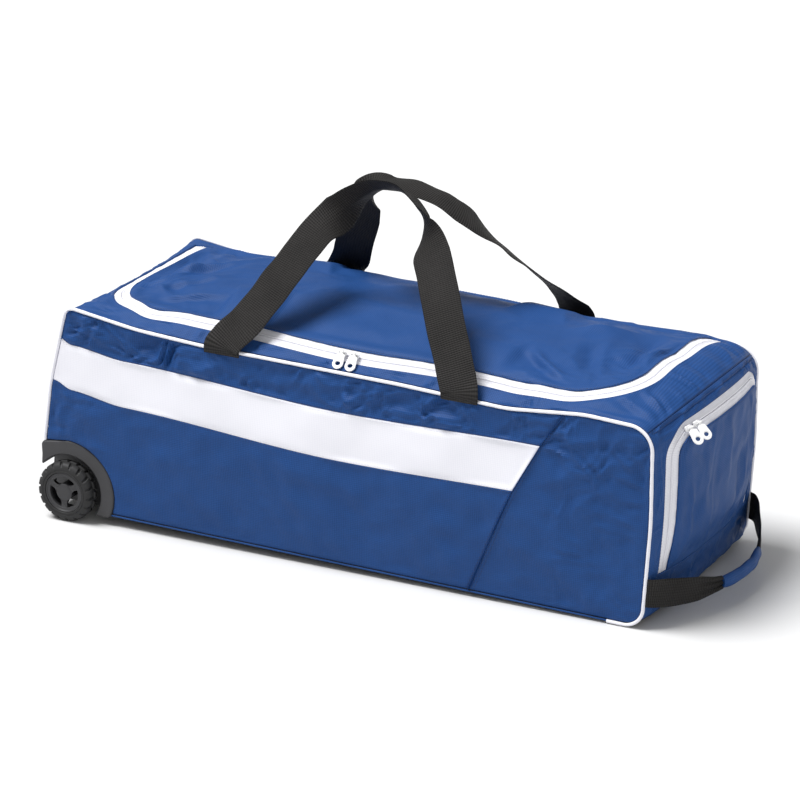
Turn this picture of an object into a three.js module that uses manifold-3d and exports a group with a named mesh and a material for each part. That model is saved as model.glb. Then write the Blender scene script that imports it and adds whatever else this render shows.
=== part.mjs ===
// Wheeled kit bag: a long soft bag with a zipped lid, an end pocket, two carry straps, an end grab
// handle and two wheels at the other end. Millimetres, +Z up, +X towards the end with the handle.
// The bag is built level, then tilted so that it stands on its wheels and on the far end of its base.

import * as THREE from "three";
import { mergeVertices } from "three/addons/utils/BufferGeometryUtils.js";
import Module from "manifold-3d";

const wasm = await Module();
wasm.setup();

// Driving sizes of the soft bag
const bagLength = 930;
const bagWidth = 354;
const bagHeight = 303;
const clothWall = 2;
const gap = 0.3;
const pipingDiameter = 4.8;
const panelPuff = 9;
const zipTapeWidth = 12.2;
const bootHeight = 118;

// Driving sizes of the lid's opening, on the cloth from the wheeled end's top edge
const lidMarginWheelEnd = 42;
const lidMarginHandleEnd = 53;
const lidCornerRadius = 88;
const lidHingeShare = 0.85;

// Driving sizes of the end pocket
const pocketHalfWidth = 127;
const pocketTopMargin = 43;
const pocketSeamDrop = 232;
const pocketCornerRadius = 24;
const pocketProud = 6;

// Driving sizes of the webbing
const strapWidth = 55;
const strapThickness = 1.8;
const strapRise = 214;
const strapSpread = 361;
const strapShift = 10.5;
const tabWidth = 41;
const handleReach = 66;
const handleHeight = 54;
const gripHeight = 19;
const gripThickness = 12;
const gripSag = 1;

// Driving sizes of the wheels and their housings
const tyreRadius = 43.5;
const tyreWidth = 26;
const tyreBore = 29.5;
const tyreShoulder = 6.5;
const hubFaceProud = 17;
const wheelDrop = 12.8;
const wheelSetIn = 47.5;
const archClearance = 8.5;
const archBand = 21;
const housingDepth = 36;
const plateProud = 3;
const housingOverhang = 4;
const housingBack = 3;
const axleRadius = 5;
const axleClearance = 0.4;
const bossWall = 4;
const webThickness = 5;
const spokeWidth = 12;
const ventInner = 13.5;
const ventOuter = 22.5;

// Driving sizes of the zip sliders and pull tabs
const sliderLength = 11;
const sliderWidth = 8;
const sliderThickness = 3.2;
const postOffset = 4.2;
const postWidth = 1.8;
const pinHeight = 3.2;
const pinRadius = 1.2;
const pinClearance = 0.4;
const pullLength = 26;
const pullWidth = 16;
const pullThickness = 2.2;
const pullEyeLength = 4.4;
const pullEyeWall = 0.75;
const pullHoleWidth = 7.5;
const pullHoleHeight = 6;

const halfLength = bagLength / 2;
const halfWidth = bagWidth / 2;
const pipingRadius = pipingDiameter / 2;
const seamInset = pipingRadius + gap + 0.1;

// The outline that both long sides share, seen from the front and walked clockwise from the bottom
// corner at the wheels. x is a share of half the length, z and radius are shares of the height.
const outlineRows = [
  { x: -1.0, z: 0.01, radius: 0.046, name: "baseLeft" },
  { x: -0.979, z: 0.36, radius: 0.99 },
  { x: -0.957, z: 0.62, radius: 0.99 },
  { x: -0.901, z: 1.0, radius: 0.053, name: "topLeft" },
  { x: -0.66, z: 0.951, radius: 1.32 },
  { x: -0.43, z: 0.934, radius: 2.97 },
  { x: 0.21, z: 0.929, radius: 2.97 },
  { x: 0.56, z: 0.912, radius: 0.66 },
  { x: 0.8, z: 0.952, radius: 0.66 },
  { x: 1.012, z: 0.94, radius: 0.112, name: "topRight" },
  { x: 1.016, z: 0.5, radius: 1.98 },
  { x: 0.998, z: 0.01, radius: 0.092, name: "baseRight" },
];

// How far the cloth between the two long sides stands out of their outline, half way across. side
// and at say where on the outline, out is a share of the width, and flat is the power of the curve
// across: a high one is flat in the middle and turns down late.
const crownRows = [
  { side: "left", at: 0.02, out: 0.008, flat: 8 },
  { side: "left", at: 0.3, out: 0.023, flat: 2.4 },
  { side: "left", at: 0.8, out: 0.014, flat: 2.4 },
  { side: "top", at: 0.0, out: -0.023, flat: 2.4 },
  { side: "top", at: 0.045, out: 0.034, flat: 2.6 },
  { side: "top", at: 0.11, out: 0.113, flat: 2.6 },
  { side: "top", at: 0.2, out: 0.161, flat: 2.6 },
  { side: "top", at: 0.33, out: 0.178, flat: 2.6 },
  { side: "top", at: 0.55, out: 0.17, flat: 2.6 },
  { side: "top", at: 0.8, out: 0.158, flat: 2.6 },
  { side: "top", at: 0.9, out: 0.124, flat: 2.4 },
  { side: "top", at: 1.0, out: 0.088, flat: 2.4 },
  { side: "right", at: 0.2, out: 0.076, flat: 2.4 },
  { side: "right", at: 0.6, out: 0.065, flat: 2.4 },
  { side: "right", at: 0.9, out: 0.04, flat: 2.6 },
  { side: "right", at: 0.985, out: 0.02, flat: 6 },
  { side: "base", at: 0.03, out: 0.0085, flat: 14 },
  { side: "base", at: 0.97, out: 0.0085, flat: 14 },
];

// The white stripe's two edges on the front: x is a share of half the length, z of the height.
const stripeRows = [
  { x: -0.945, top: 0.862, bottom: 0.632 },
  { x: -0.88, top: 0.818, bottom: 0.599 },
  { x: -0.695, top: 0.788, bottom: 0.568 },
  { x: 0.028, top: 0.746, bottom: 0.52 },
  { x: 0.67, top: 0.769, bottom: 0.541 },
];

// The slanting seam between the stripe and the corner panel.
const seamRows = [
  { z: 0.0, x: 0.443 },
  { z: 0.535, x: 0.587 },
  { z: 0.77, x: 0.669 },
  { z: 0.93, x: 0.738 },
];

// The lid's front edge: at is a share of the top's length, y of half the width.
const lidFrontRows = [
  { at: 0.0, y: -0.775 },
  { at: 0.22, y: -0.77 },
  { at: 0.5, y: -0.815 },
  { at: 0.72, y: -0.77 },
  { at: 0.88, y: -0.8 },
  { at: 1.0, y: -0.8 },
];

// Shallow dents and swells of the top cloth: at is a share of the top's length, y of half the width,
// reach and depth are shares of the width.
const dentRows = [
  { at: 0.865, y: -0.3, reach: 0.12, depth: 0.03 },
  { at: 0.93, y: 0.15, reach: 0.1, depth: 0.02 },
  { at: 0.2, y: -0.35, reach: 0.16, depth: 0.012 },
  { at: 0.52, y: 0.1, reach: 0.3, depth: -0.008 },
  { at: 0.1, y: 0.3, reach: 0.14, depth: 0.014 },
];

// The carry straps. x is a share of half the feet's spread, y of half the width, z of the rise.
// turn is the plan angle of the webbing's width and tip its slope, in degrees.
const frontStrapRows = [
  { x: -1.0, y: -1.0, z: -0.024, turn: 0, tip: 0 },
  { x: -1.0, y: -1.0, z: 0.03, turn: 0, tip: 0 },
  { x: -0.96, y: -0.985, z: 0.09, turn: 0, tip: 0 },
  { x: -0.86, y: -0.904, z: 0.187, turn: 0, tip: 0 },
  { x: -0.684, y: -0.633, z: 0.463, turn: 0, tip: 0 },
  { x: -0.54, y: -0.311, z: 0.715, turn: 4, tip: 0 },
  { x: -0.425, y: -0.2, z: 0.81, turn: 26, tip: -6 },
  { x: -0.31, y: -0.13, z: 0.915, turn: 66, tip: -22 },
  { x: -0.158, y: -0.1, z: 0.995, turn: 86, tip: -30 },
  { x: 0.003, y: -0.107, z: 1.01, turn: 90, tip: -30 },
  { x: 0.136, y: -0.13, z: 0.98, turn: 92, tip: -26 },
  { x: 0.262, y: -0.18, z: 0.905, turn: 104, tip: -16 },
  { x: 0.34, y: -0.254, z: 0.81, turn: 138, tip: -4 },
  { x: 0.458, y: -0.407, z: 0.7, turn: 168, tip: 0 },
  { x: 0.635, y: -0.633, z: 0.54, turn: 178, tip: 0 },
  { x: 0.778, y: -0.802, z: 0.365, turn: 180, tip: 0 },
  { x: 0.93, y: -0.95, z: 0.155, turn: 180, tip: 0 },
  { x: 1.0, y: -1.0, z: 0.03, turn: 180, tip: 0 },
  { x: 1.0, y: -1.0, z: -0.035, turn: 180, tip: 0 },
];
const rearStrapRows = [
  { x: -1.0, y: 1.0, z: -0.024, turn: 0, tip: 0 },
  { x: -1.0, y: 1.0, z: 0.03, turn: 0, tip: 0 },
  { x: -0.95, y: 0.93, z: 0.09, turn: 0, tip: 0 },
  { x: -0.85, y: 0.78, z: 0.17, turn: 0, tip: 0 },
  { x: -0.745, y: 0.63, z: 0.265, turn: 0, tip: 0 },
  { x: -0.63, y: 0.47, z: 0.44, turn: 0, tip: 0 },
  { x: -0.505, y: 0.35, z: 0.66, turn: -4, tip: 0 },
  { x: -0.425, y: 0.27, z: 0.82, turn: -22, tip: 0 },
  { x: -0.28, y: 0.21, z: 0.93, turn: -64, tip: 0 },
  { x: -0.1, y: 0.205, z: 0.955, turn: -86, tip: 0 },
  { x: 0.06, y: 0.205, z: 0.94, turn: -90, tip: 0 },
  { x: 0.235, y: 0.21, z: 0.9, turn: -90, tip: 0 },
  { x: 0.38, y: 0.24, z: 0.83, turn: -88, tip: 0 },
  { x: 0.485, y: 0.3, z: 0.75, turn: -75, tip: 0 },
  { x: 0.61, y: 0.44, z: 0.6, turn: -50, tip: 0 },
  { x: 0.84, y: 0.69, z: 0.35, turn: -38, tip: 0 },
  { x: 0.975, y: 0.85, z: 0.205, turn: -22, tip: 0 },
  { x: 1.02, y: 0.95, z: 0.11, turn: -5, tip: 0 },
  { x: 1.03, y: 1.0, z: 0.03, turn: 0, tip: 0 },
  { x: 1.03, y: 1.0, z: -0.035, turn: 0, tip: 0 },
];

// The end handle from its front seam to the middle. reach is a share of how far it stands off, y of
// half the width, z of its height, and width a share of the webbing's.
const handleRows = [
  { reach: 0.0, y: 1.0, z: 1.0, width: 1.0 },
  { reach: 0.13, y: 0.97, z: 0.99, width: 1.0 },
  { reach: 0.46, y: 0.76, z: 0.87, width: 0.97 },
  { reach: 0.69, y: 0.58, z: 0.78, width: 0.85 },
  { reach: 0.85, y: 0.43, z: 0.73, width: 0.6 },
  { reach: 0.91, y: 0.35, z: 0.72, width: 0.48 },
];

// Sliders and their pulls: along says where on the zip, on the cloth from the wheeled end's top edge
// or from the pocket's front edge. droop is how far the pull hangs below the cloth's slope, and lean how
// far the slider's bar is turned out of it, in degrees.
const pullRows = [
  { name: "lid_left", on: "lid", along: 421, droop: 12, lean: 0 },
  { name: "lid_right", on: "lid", along: 440, droop: 12, lean: 0 },
  { name: "pocket_left", on: "pocket", along: 17, droop: -18, lean: 18 },
  { name: "pocket_right", on: "pocket", along: 36, droop: -18, lean: 18 },
];

const finishes = {
  blueCloth: { color: 0x2f5597, roughness: 0.75, metalness: 0 },
  whiteCloth: { color: 0xe8e8ee, roughness: 0.7, metalness: 0 },
  blackCloth: { color: 0x1e1e20, roughness: 0.8, metalness: 0 },
  webbing: { color: 0x2b2a2a, roughness: 0.85, metalness: 0 },
  whitePlastic: { color: 0xf2f2f2, roughness: 0.45, metalness: 0 },
  greyPlastic: { color: 0x3c3c3e, roughness: 0.6, metalness: 0 },
  blackPlastic: { color: 0x242426, roughness: 0.5, metalness: 0 },
  tyreRubber: { color: 0x1f1f20, roughness: 0.85, metalness: 0 },
};

// Numbers and tables

const mix = (a, b, t) => a + (b - a) * t;
const clamp01 = (t) => Math.min(1, Math.max(0, t));
const smooth = (t) => clamp01(t) ** 2 * (3 - 2 * clamp01(t));
const range = (count) => Array.from({ length: count }, (_, i) => i);
const shares = (steps) => range(steps + 1).map((i) => i / steps);

// Looks a value up in rows sorted by a column, with straight lines between the rows.
function lookUp(rows, from, to, value) {
  const last = rows.length - 1;
  let i = 0;
  while (i < last - 1 && rows[i + 1][from] < value) i += 1;
  const [low, high] = [rows[i], rows[i + 1]];
  const t = (value - low[from]) / (high[from] - low[from]);
  return mix(low[to], high[to], clamp01(t));
}

// The same, with the steps between the rows eased.
function lookUpEased(rows, from, to, value) {
  const last = rows.length - 1;
  let i = 0;
  while (i < last - 1 && rows[i + 1][from] < value) i += 1;
  const [low, high] = [rows[i], rows[i + 1]];
  return mix(low[to], high[to], smooth((value - low[from]) / (high[from] - low[from])));
}

// Length along a curve as a table, so that a distance on the cloth gives its parameter and back.
function lengthTable(point, start, end, steps) {
  const rows = [{ at: start, length: 0 }];
  for (const t of shares(steps).slice(1)) {
    const at = mix(start, end, t);
    const before = rows[rows.length - 1];
    rows.push({ at, length: before.length + point(at).distanceTo(point(before.at)) });
  }
  return rows;
}

// The outline: straight runs joined by arcs, walked by distance

function roundedOutline(rows) {
  const corners = rows.map((row) => new THREE.Vector2(row.x * halfLength, row.z * bagHeight));
  const turns = corners.map((corner, i) => {
    const before = corners.at(i - 1).clone().sub(corner);
    const after = corners[(i + 1) % corners.length].clone().sub(corner);
    const angle = Math.acos(before.dot(after) / (before.length() * after.length()));
    const wanted = (rows[i].radius * bagHeight) / Math.tan(angle / 2);
    const cut = Math.min(wanted, 0.45 * before.length(), 0.45 * after.length());
    const side = Math.sign(after.cross(before));
    return { corner, cut, side, angle, before: before.normalize(), after: after.normalize() };
  });
  const runs = [];
  const anchors = {};
  let distance = 0;
  turns.forEach((turn, i) => {
    const radius = turn.cut * Math.tan(turn.angle / 2);
    const sweep = Math.PI - turn.angle;
    const start = turn.corner.clone().addScaledVector(turn.before, turn.cut);
    const heading = turn.before.clone().negate();
    const centre = new THREE.Vector2(-heading.y, heading.x).multiplyScalar(turn.side * radius).add(start);
    runs.push({ from: distance, length: radius * sweep, start, heading, centre, turn: turn.side / radius });
    if (rows[i].name) anchors[rows[i].name] = distance + (radius * sweep) / 2;
    distance += radius * sweep;
    const next = turns[(i + 1) % turns.length];
    const end = turn.corner.clone().addScaledVector(turn.after, turn.cut);
    const reach = next.corner.clone().addScaledVector(next.before, next.cut);
    runs.push({ from: distance, length: end.distanceTo(reach), start: end, heading: turn.after, turn: 0 });
    distance += end.distanceTo(reach);
  });
  return { runs, anchors, total: distance };
}

const outline = roundedOutline(outlineRows);
const anchors = outline.anchors;

// The outline's point and outward direction at a distance along it.
function outlineAt(distance) {
  const along = ((distance % outline.total) + outline.total) % outline.total;
  const run = outline.runs.findLast((candidate) => candidate.from <= along);
  const step = along - run.from;
  const heading = run.heading.clone();
  const point = run.start.clone();
  if (run.turn === 0) point.addScaledVector(heading, step);
  else {
    point.rotateAround(run.centre, run.turn * step);
    heading.rotateAround(new THREE.Vector2(), run.turn * step);
  }
  return { point, out: new THREE.Vector2(-heading.y, heading.x) };
}

const sideEnds = {
  left: ["baseLeft", "topLeft"],
  top: ["topLeft", "topRight"],
  right: ["topRight", "baseRight"],
  base: ["baseRight", "baseLeft"],
};

function sideStart(side) {
  return anchors[sideEnds[side][0]];
}

function sideLength(side) {
  const [start, end] = sideEnds[side].map((name) => anchors[name]);
  return end > start ? end - start : end - start + outline.total;
}

// The distance along one side of the outline where a coordinate first reaches a value.
function outlineWhere(side, axis, value) {
  let [low, high] = [sideStart(side), sideStart(side) + sideLength(side)];
  const rising = outlineAt(high).point[axis] > outlineAt(low).point[axis];
  for (let i = 0; i < 40; i += 1) {
    const middle = (low + high) / 2;
    if (outlineAt(middle).point[axis] < value === rising) low = middle;
    else high = middle;
  }
  return low;
}

// The cloth of the bag

const crownTable = crownRows
  .map((row) => {
    const distance = sideStart(row.side) + row.at * sideLength(row.side);
    return { ...row, distance: distance % outline.total };
  })
  .sort((a, b) => a.distance - b.distance);
const crownLast = crownTable[crownTable.length - 1];
crownTable.unshift({ ...crownLast, distance: crownLast.distance - outline.total });
crownTable.push({ ...crownTable[1], distance: crownTable[1].distance + outline.total });

function dent(along, y) {
  const at = (along - sideStart("top")) / sideLength("top");
  return dentRows.reduce((sum, row) => {
    const across = (at - row.at) * sideLength("top");
    const distance = Math.hypot(across, y - row.y * halfWidth);
    return sum + row.depth * bagWidth * Math.exp(-((distance / (row.reach * bagWidth)) ** 2));
  }, 0);
}

// The band of cloth between the two long sides: distance along the outline and place across.
function wrapPoint(distance, y) {
  const { point, out } = outlineAt(distance);
  const along = ((distance % outline.total) + outline.total) % outline.total;
  const crown = lookUpEased(crownTable, "distance", "out", along) * bagWidth;
  const flat = lookUpEased(crownTable, "distance", "flat", along);
  const across = Math.min(1, Math.abs(y) / halfWidth);
  const height = (crown - dent(along, y)) * (1 - across ** flat);
  return new THREE.Vector3(point.x + out.x * height, y, point.y + out.y * height);
}

// A long side's cloth, a little puffed out: side is -1 at the front and 1 at the back.
function sidePoint(x, z, side) {
  const top = outlineAt(outlineWhere("top", "x", x)).point.y;
  const up = clamp01(1 - (2 * z / top - 1) ** 2);
  const along = clamp01(1 - (x / halfLength) ** 4);
  return new THREE.Vector3(x, side * (halfWidth + panelPuff * up ** 2 * along), z);
}

const topCloth = lengthTable((y) => wrapPoint(sideStart("top") + sideLength("top") / 2, y), 0, halfWidth, 60);
const endCloth = lengthTable((s) => wrapPoint(s, 0), anchors.topRight, anchors.baseRight, 120);
const endLength = endCloth[endCloth.length - 1].length;

// The top as the lid's maker measures it: along from the wheeled end's top edge, across on the cloth.
function topPoint(along, across) {
  const y = Math.sign(across) * lookUp(topCloth, "length", "at", Math.abs(across));
  return wrapPoint(anchors.topLeft + along, y);
}

function topAcross(share) {
  return Math.sign(share) * lookUp(topCloth, "at", "length", Math.abs(share) * halfWidth);
}

// The end with the handle: across, and down on the cloth from its top edge.
function endPoint(across, down) {
  const base = wrapPoint(lookUp(endCloth, "length", "at", down), across);
  const rise = zipTapeWidth * 3;
  const sides = smooth((pocketHalfWidth + 2 * zipTapeWidth - Math.abs(across)) / rise);
  const top = smooth((down - pocketTopMargin + 2 * zipTapeWidth) / rise);
  const foot = smooth((pocketSeamDrop - down) / (2 * rise));
  base.x += pocketProud * sides * top * foot;
  return base;
}

// Solids

function facingOut(geometry) {
  const position = geometry.getAttribute("position");
  const index = geometry.index;
  const [a, b, c] = range(3).map(() => new THREE.Vector3());
  let volume = 0;
  for (let i = 0; i < index.count; i += 3) {
    a.fromBufferAttribute(position, index.getX(i));
    b.fromBufferAttribute(position, index.getX(i + 1));
    c.fromBufferAttribute(position, index.getX(i + 2));
    volume += a.dot(b.cross(c));
  }
  if (volume < 0) index.array.reverse();
  return geometry;
}

// A sheet with thickness: a grid of cells with an outer and an inner face, and walls round its edge.
// wrapped joins the last row to the first, and keeps says which cells are cloth.
function sheetGeometry(outer, inner, wrapped = false, keeps = () => true) {
  const rows = outer.length;
  const columns = outer[0].length;
  const points = [...outer.flat(), ...inner.flat()];
  const back = rows * columns;
  const id = (i, j) => (i % rows) * columns + j;
  const cellRows = wrapped ? rows : rows - 1;
  const has = (i, j) => {
    if (j < 0 || j >= columns - 1) return false;
    if (wrapped) return keeps((i + rows) % rows, j);
    return i >= 0 && i < cellRows && keeps(i, j);
  };
  const index = [];
  const quad = (a, b, c, d) => index.push(a, b, c, a, c, d);
  for (const i of range(cellRows)) {
    for (const j of range(columns - 1)) {
      if (!has(i, j)) continue;
      const [a, b, c, d] = [id(i, j), id(i + 1, j), id(i + 1, j + 1), id(i, j + 1)];
      quad(a, b, c, d);
      quad(back + a, back + d, back + c, back + b);
      if (!has(i, j - 1)) quad(a, back + a, back + b, b);
      if (!has(i, j + 1)) quad(c, back + c, back + d, d);
      if (!has(i - 1, j)) quad(d, back + d, back + a, a);
      if (!has(i + 1, j)) quad(b, back + b, back + c, c);
    }
  }
  return closed(points, index);
}

function closed(points, index) {
  const geometry = new THREE.BufferGeometry();
  geometry.setAttribute("position", new THREE.Float32BufferAttribute(points.flatMap((p) => p.toArray()), 3));
  geometry.setIndex(index);
  return facingOut(mergeVertices(geometry, 1e-4));
}

// Cloth cut from a flat pattern: each pattern point goes to the surface, and the wall hangs inside.
function clothGeometry(surface, pattern, options = {}) {
  const step = 0.5;
  const middle = new THREE.Vector3(0, 0, bagHeight / 2);
  const outer = pattern.map((row) => row.map((p) => surface(p.x, p.y)));
  const inner = pattern.map((row, i) =>
    row.map((p, j) => {
      const along = surface(p.x + step, p.y).sub(surface(p.x - step, p.y));
      const across = surface(p.x, p.y + step).sub(surface(p.x, p.y - step));
      const normal = along.cross(across).normalize();
      const point = outer[i][j];
      if (normal.dot(point.clone().sub(middle)) < 0) normal.negate();
      return point.clone().addScaledVector(normal, -clothWall);
    }),
  );
  return sheetGeometry(outer, inner, options.wrapped, options.keeps);
}

// A patch whose four edges are given as lists of points; lower and upper, left and right match.
function patch(lower, upper, left, right) {
  const [n, m] = [lower.length - 1, left.length - 1];
  return range(n + 1).map((i) =>
    range(m + 1).map((j) => {
      const [u, v] = [i / n, j / m];
      const blend = (axis) =>
        mix(lower[i][axis], upper[i][axis], v) +
        mix(left[j][axis], right[j][axis], u) -
        mix(mix(lower[0][axis], lower[n][axis], u), mix(upper[0][axis], upper[n][axis], u), v);
      return new THREE.Vector2(blend("x"), blend("y"));
    }),
  );
}

// A section carried along a line of stations. Each station has a centre and two half-width vectors.
function sweptGeometry(stations, section) {
  const rings = stations.map(({ centre, wide, thick }) =>
    section.map(([w, t]) => centre.clone().addScaledVector(wide, w).addScaledVector(thick, t)),
  );
  const n = section.length;
  const index = [];
  for (const i of range(rings.length - 1)) {
    for (const j of range(n)) {
      const [a, b] = [i * n + j, i * n + ((j + 1) % n)];
      index.push(a, a + n, b + n, a, b + n, b);
    }
  }
  const last = (rings.length - 1) * n;
  for (const j of range(n - 2)) {
    index.push(0, j + 1, j + 2);
    index.push(last, last + j + 2, last + j + 1);
  }
  return closed(rings.flat(), index);
}

const flatSection = [
  [-1, -1],
  [1, -1],
  [1, 1],
  [-1, 1],
];

function roundSection(sides) {
  return range(sides).map((i) => {
    const angle = ((i + 0.5) / sides) * 2 * Math.PI;
    return [Math.cos(angle), Math.sin(angle)];
  });
}

// Stations along a smooth line through chosen points, with half sizes from a width and a thickness.
function stationsAlong(knots, steps) {
  const line = new THREE.CatmullRomCurve3(knots.map((knot) => knot.point), false, "centripetal");
  return shares(steps).map((t) => {
    const centre = line.getPoint(t);
    const heading = line.getTangent(t);
    const place = t * (knots.length - 1);
    const i = Math.min(knots.length - 2, Math.floor(place));
    const wide = knots[i].wide.clone().lerp(knots[i + 1].wide, place - i);
    const size = wide.length();
    wide.addScaledVector(heading, -wide.dot(heading)).setLength(size);
    const half = mix(knots[i].thick, knots[i + 1].thick, place - i);
    const thick = heading.clone().cross(wide).setLength(half);
    return { centre, wide, thick };
  });
}

function asManifold(geometry) {
  const bare = geometry.clone();
  bare.deleteAttribute("normal");
  bare.deleteAttribute("uv");
  const merged = facingOut(mergeVertices(bare, 1e-4));
  const vertProperties = merged.getAttribute("position").array;
  return new wasm.Manifold(
    new wasm.Mesh({ numProp: 3, vertProperties, triVerts: new Uint32Array(merged.index.array) }),
  );
}

function asGeometry(solid) {
  const mesh = solid.getMesh();
  const geometry = new THREE.BufferGeometry();
  const stride = mesh.numProp;
  const position = new Float32Array(mesh.numVert * 3);
  for (const i of range(mesh.numVert)) {
    position.set(mesh.vertProperties.subarray(i * stride, i * stride + 3), i * 3);
  }
  geometry.setAttribute("position", new THREE.BufferAttribute(position, 3));
  geometry.setIndex(new THREE.BufferAttribute(new Uint32Array(mesh.triVerts), 1));
  return geometry;
}

// An outline in x and z, carried along y from one value to another.
function slab(shape, fromY, toY, curveSegments = 6) {
  const geometry = new THREE.ExtrudeGeometry(shape, { depth: toY - fromY, bevelEnabled: false, curveSegments });
  geometry.rotateX(Math.PI / 2);
  geometry.translate(0, toY, 0);
  return geometry;
}

const bag = new THREE.Group();

function add(name, finish, geometry, parent = bag) {
  const mesh = new THREE.Mesh(geometry, new THREE.MeshStandardMaterial(finishes[finish]));
  mesh.name = name;
  parent.add(mesh);
  return mesh;
}

// The wheel's place, and the outer edge of its housing

const hubX = -halfLength + wheelSetIn;
const hubZ = tyreRadius - wheelDrop;
const archRadius = tyreRadius + archClearance;
const guardRadius = archRadius + archBand;
const baseZ = outlineAt(sideStart("base") + sideLength("base") / 2).point.y;
const baseReach = baseZ + seamInset;
const housingRightX = hubX + Math.sqrt(guardRadius ** 2 - (hubZ - baseReach) ** 2);
const guardTopZ = hubZ + guardRadius;
const guardLeftZ = guardTopZ - archBand / 3;
const endAtGuard = outlineAt(outlineWhere("left", "y", guardLeftZ)).point.x;
const guardLeftX = endAtGuard - housingOverhang;

// The height of the housing's slanting top edge, left of the wheel's centre.
function guardLineZ(x) {
  return mix(guardTopZ, guardLeftZ, (hubX - x) / (hubX - guardLeftX));
}

// The edge of the cloth round the housing, from the bag's end to the base. Its chords clear the arc.
function guardEdge(margin, steps) {
  const sweep = Math.acos((baseReach - hubZ) / guardRadius);
  const radius = (guardRadius + margin) / Math.cos(sweep / steps / 2);
  const arc = shares(steps).map((t) => {
    const angle = sweep * t;
    return new THREE.Vector2(hubX + radius * Math.sin(angle), hubZ + radius * Math.cos(angle));
  });
  arc[steps].y = baseReach;
  const cornerX = endAtGuard + seamInset;
  return [new THREE.Vector2(cornerX, guardLineZ(cornerX) + 2 * margin), ...arc];
}

// Long sides

const insetPoint = (distance) => {
  const { point, out } = outlineAt(distance);
  return point.addScaledVector(out, -seamInset);
};

// Even stops along the outline, each moved to the middle of the outline's own bend where one is near.
function insetRun(from, to, steps) {
  const stops = shares(steps).map((t) => mix(from, to, t));
  for (const run of outline.runs.filter((candidate) => candidate.turn !== 0)) {
    const bend = run.from + run.length / 2;
    const near = Math.round(((bend - from) / (to - from)) * steps);
    if (near > 0 && near < steps) stops[near] = bend;
  }
  return stops.map(insetPoint);
}
const seamX = (z) => lookUp(seamRows, "z", "x", z / bagHeight) * halfLength;
const stripeZ = (x, edge) => lookUpEased(stripeRows, "x", edge, x / halfLength) * bagHeight;
const frontPoint = (x, z) => sidePoint(x, z, -1);
const backPoint = (x, z) => sidePoint(x, z, 1);

const guardSteps = 5;
const columns = 15;
const upperRows = 2;
const stripeRowsHigh = 2;
const lowerRows = 4;
const edgeRow = (x, z) => new THREE.Vector2(x, z);

// Where the stripe's edge meets the bag's end: the inset outline at the stripe's height.
function stripeEnd(edge) {
  return outlineWhere("left", "y", lookUp(stripeRows, "x", edge, -1) * bagHeight);
}

function stripeLine(edge, offset, xs) {
  return xs.map((x) => edgeRow(x, stripeZ(x, edge) + offset));
}

const seamSideX = (z, side) => seamX(z) + (side * gap) / 2;

function seamRun(fromZ, toZ, steps, side) {
  return shares(steps).map((t) => edgeRow(seamSideX(mix(fromZ, toZ, t), side), mix(fromZ, toZ, t)));
}

// Where the seam meets the bottom and the top of the inset outline, and the stripe's edges.
const seamFootX = seamX(0);
const seamFoot = insetPoint(outlineWhere("base", "x", seamFootX));
const seamHeadDistance = outlineWhere("top", "x", seamX(bagHeight * 0.92));
const seamHead = insetPoint(seamHeadDistance);

function seamMeets(edge) {
  let x = seamX(stripeZ(seamX(bagHeight * 0.6), edge));
  for (let i = 0; i < 12; i += 1) x = seamX(stripeZ(x, edge));
  return { x, z: stripeZ(x, edge) };
}

const seamTop = seamMeets("top");
const seamBottom = seamMeets("bottom");

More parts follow.
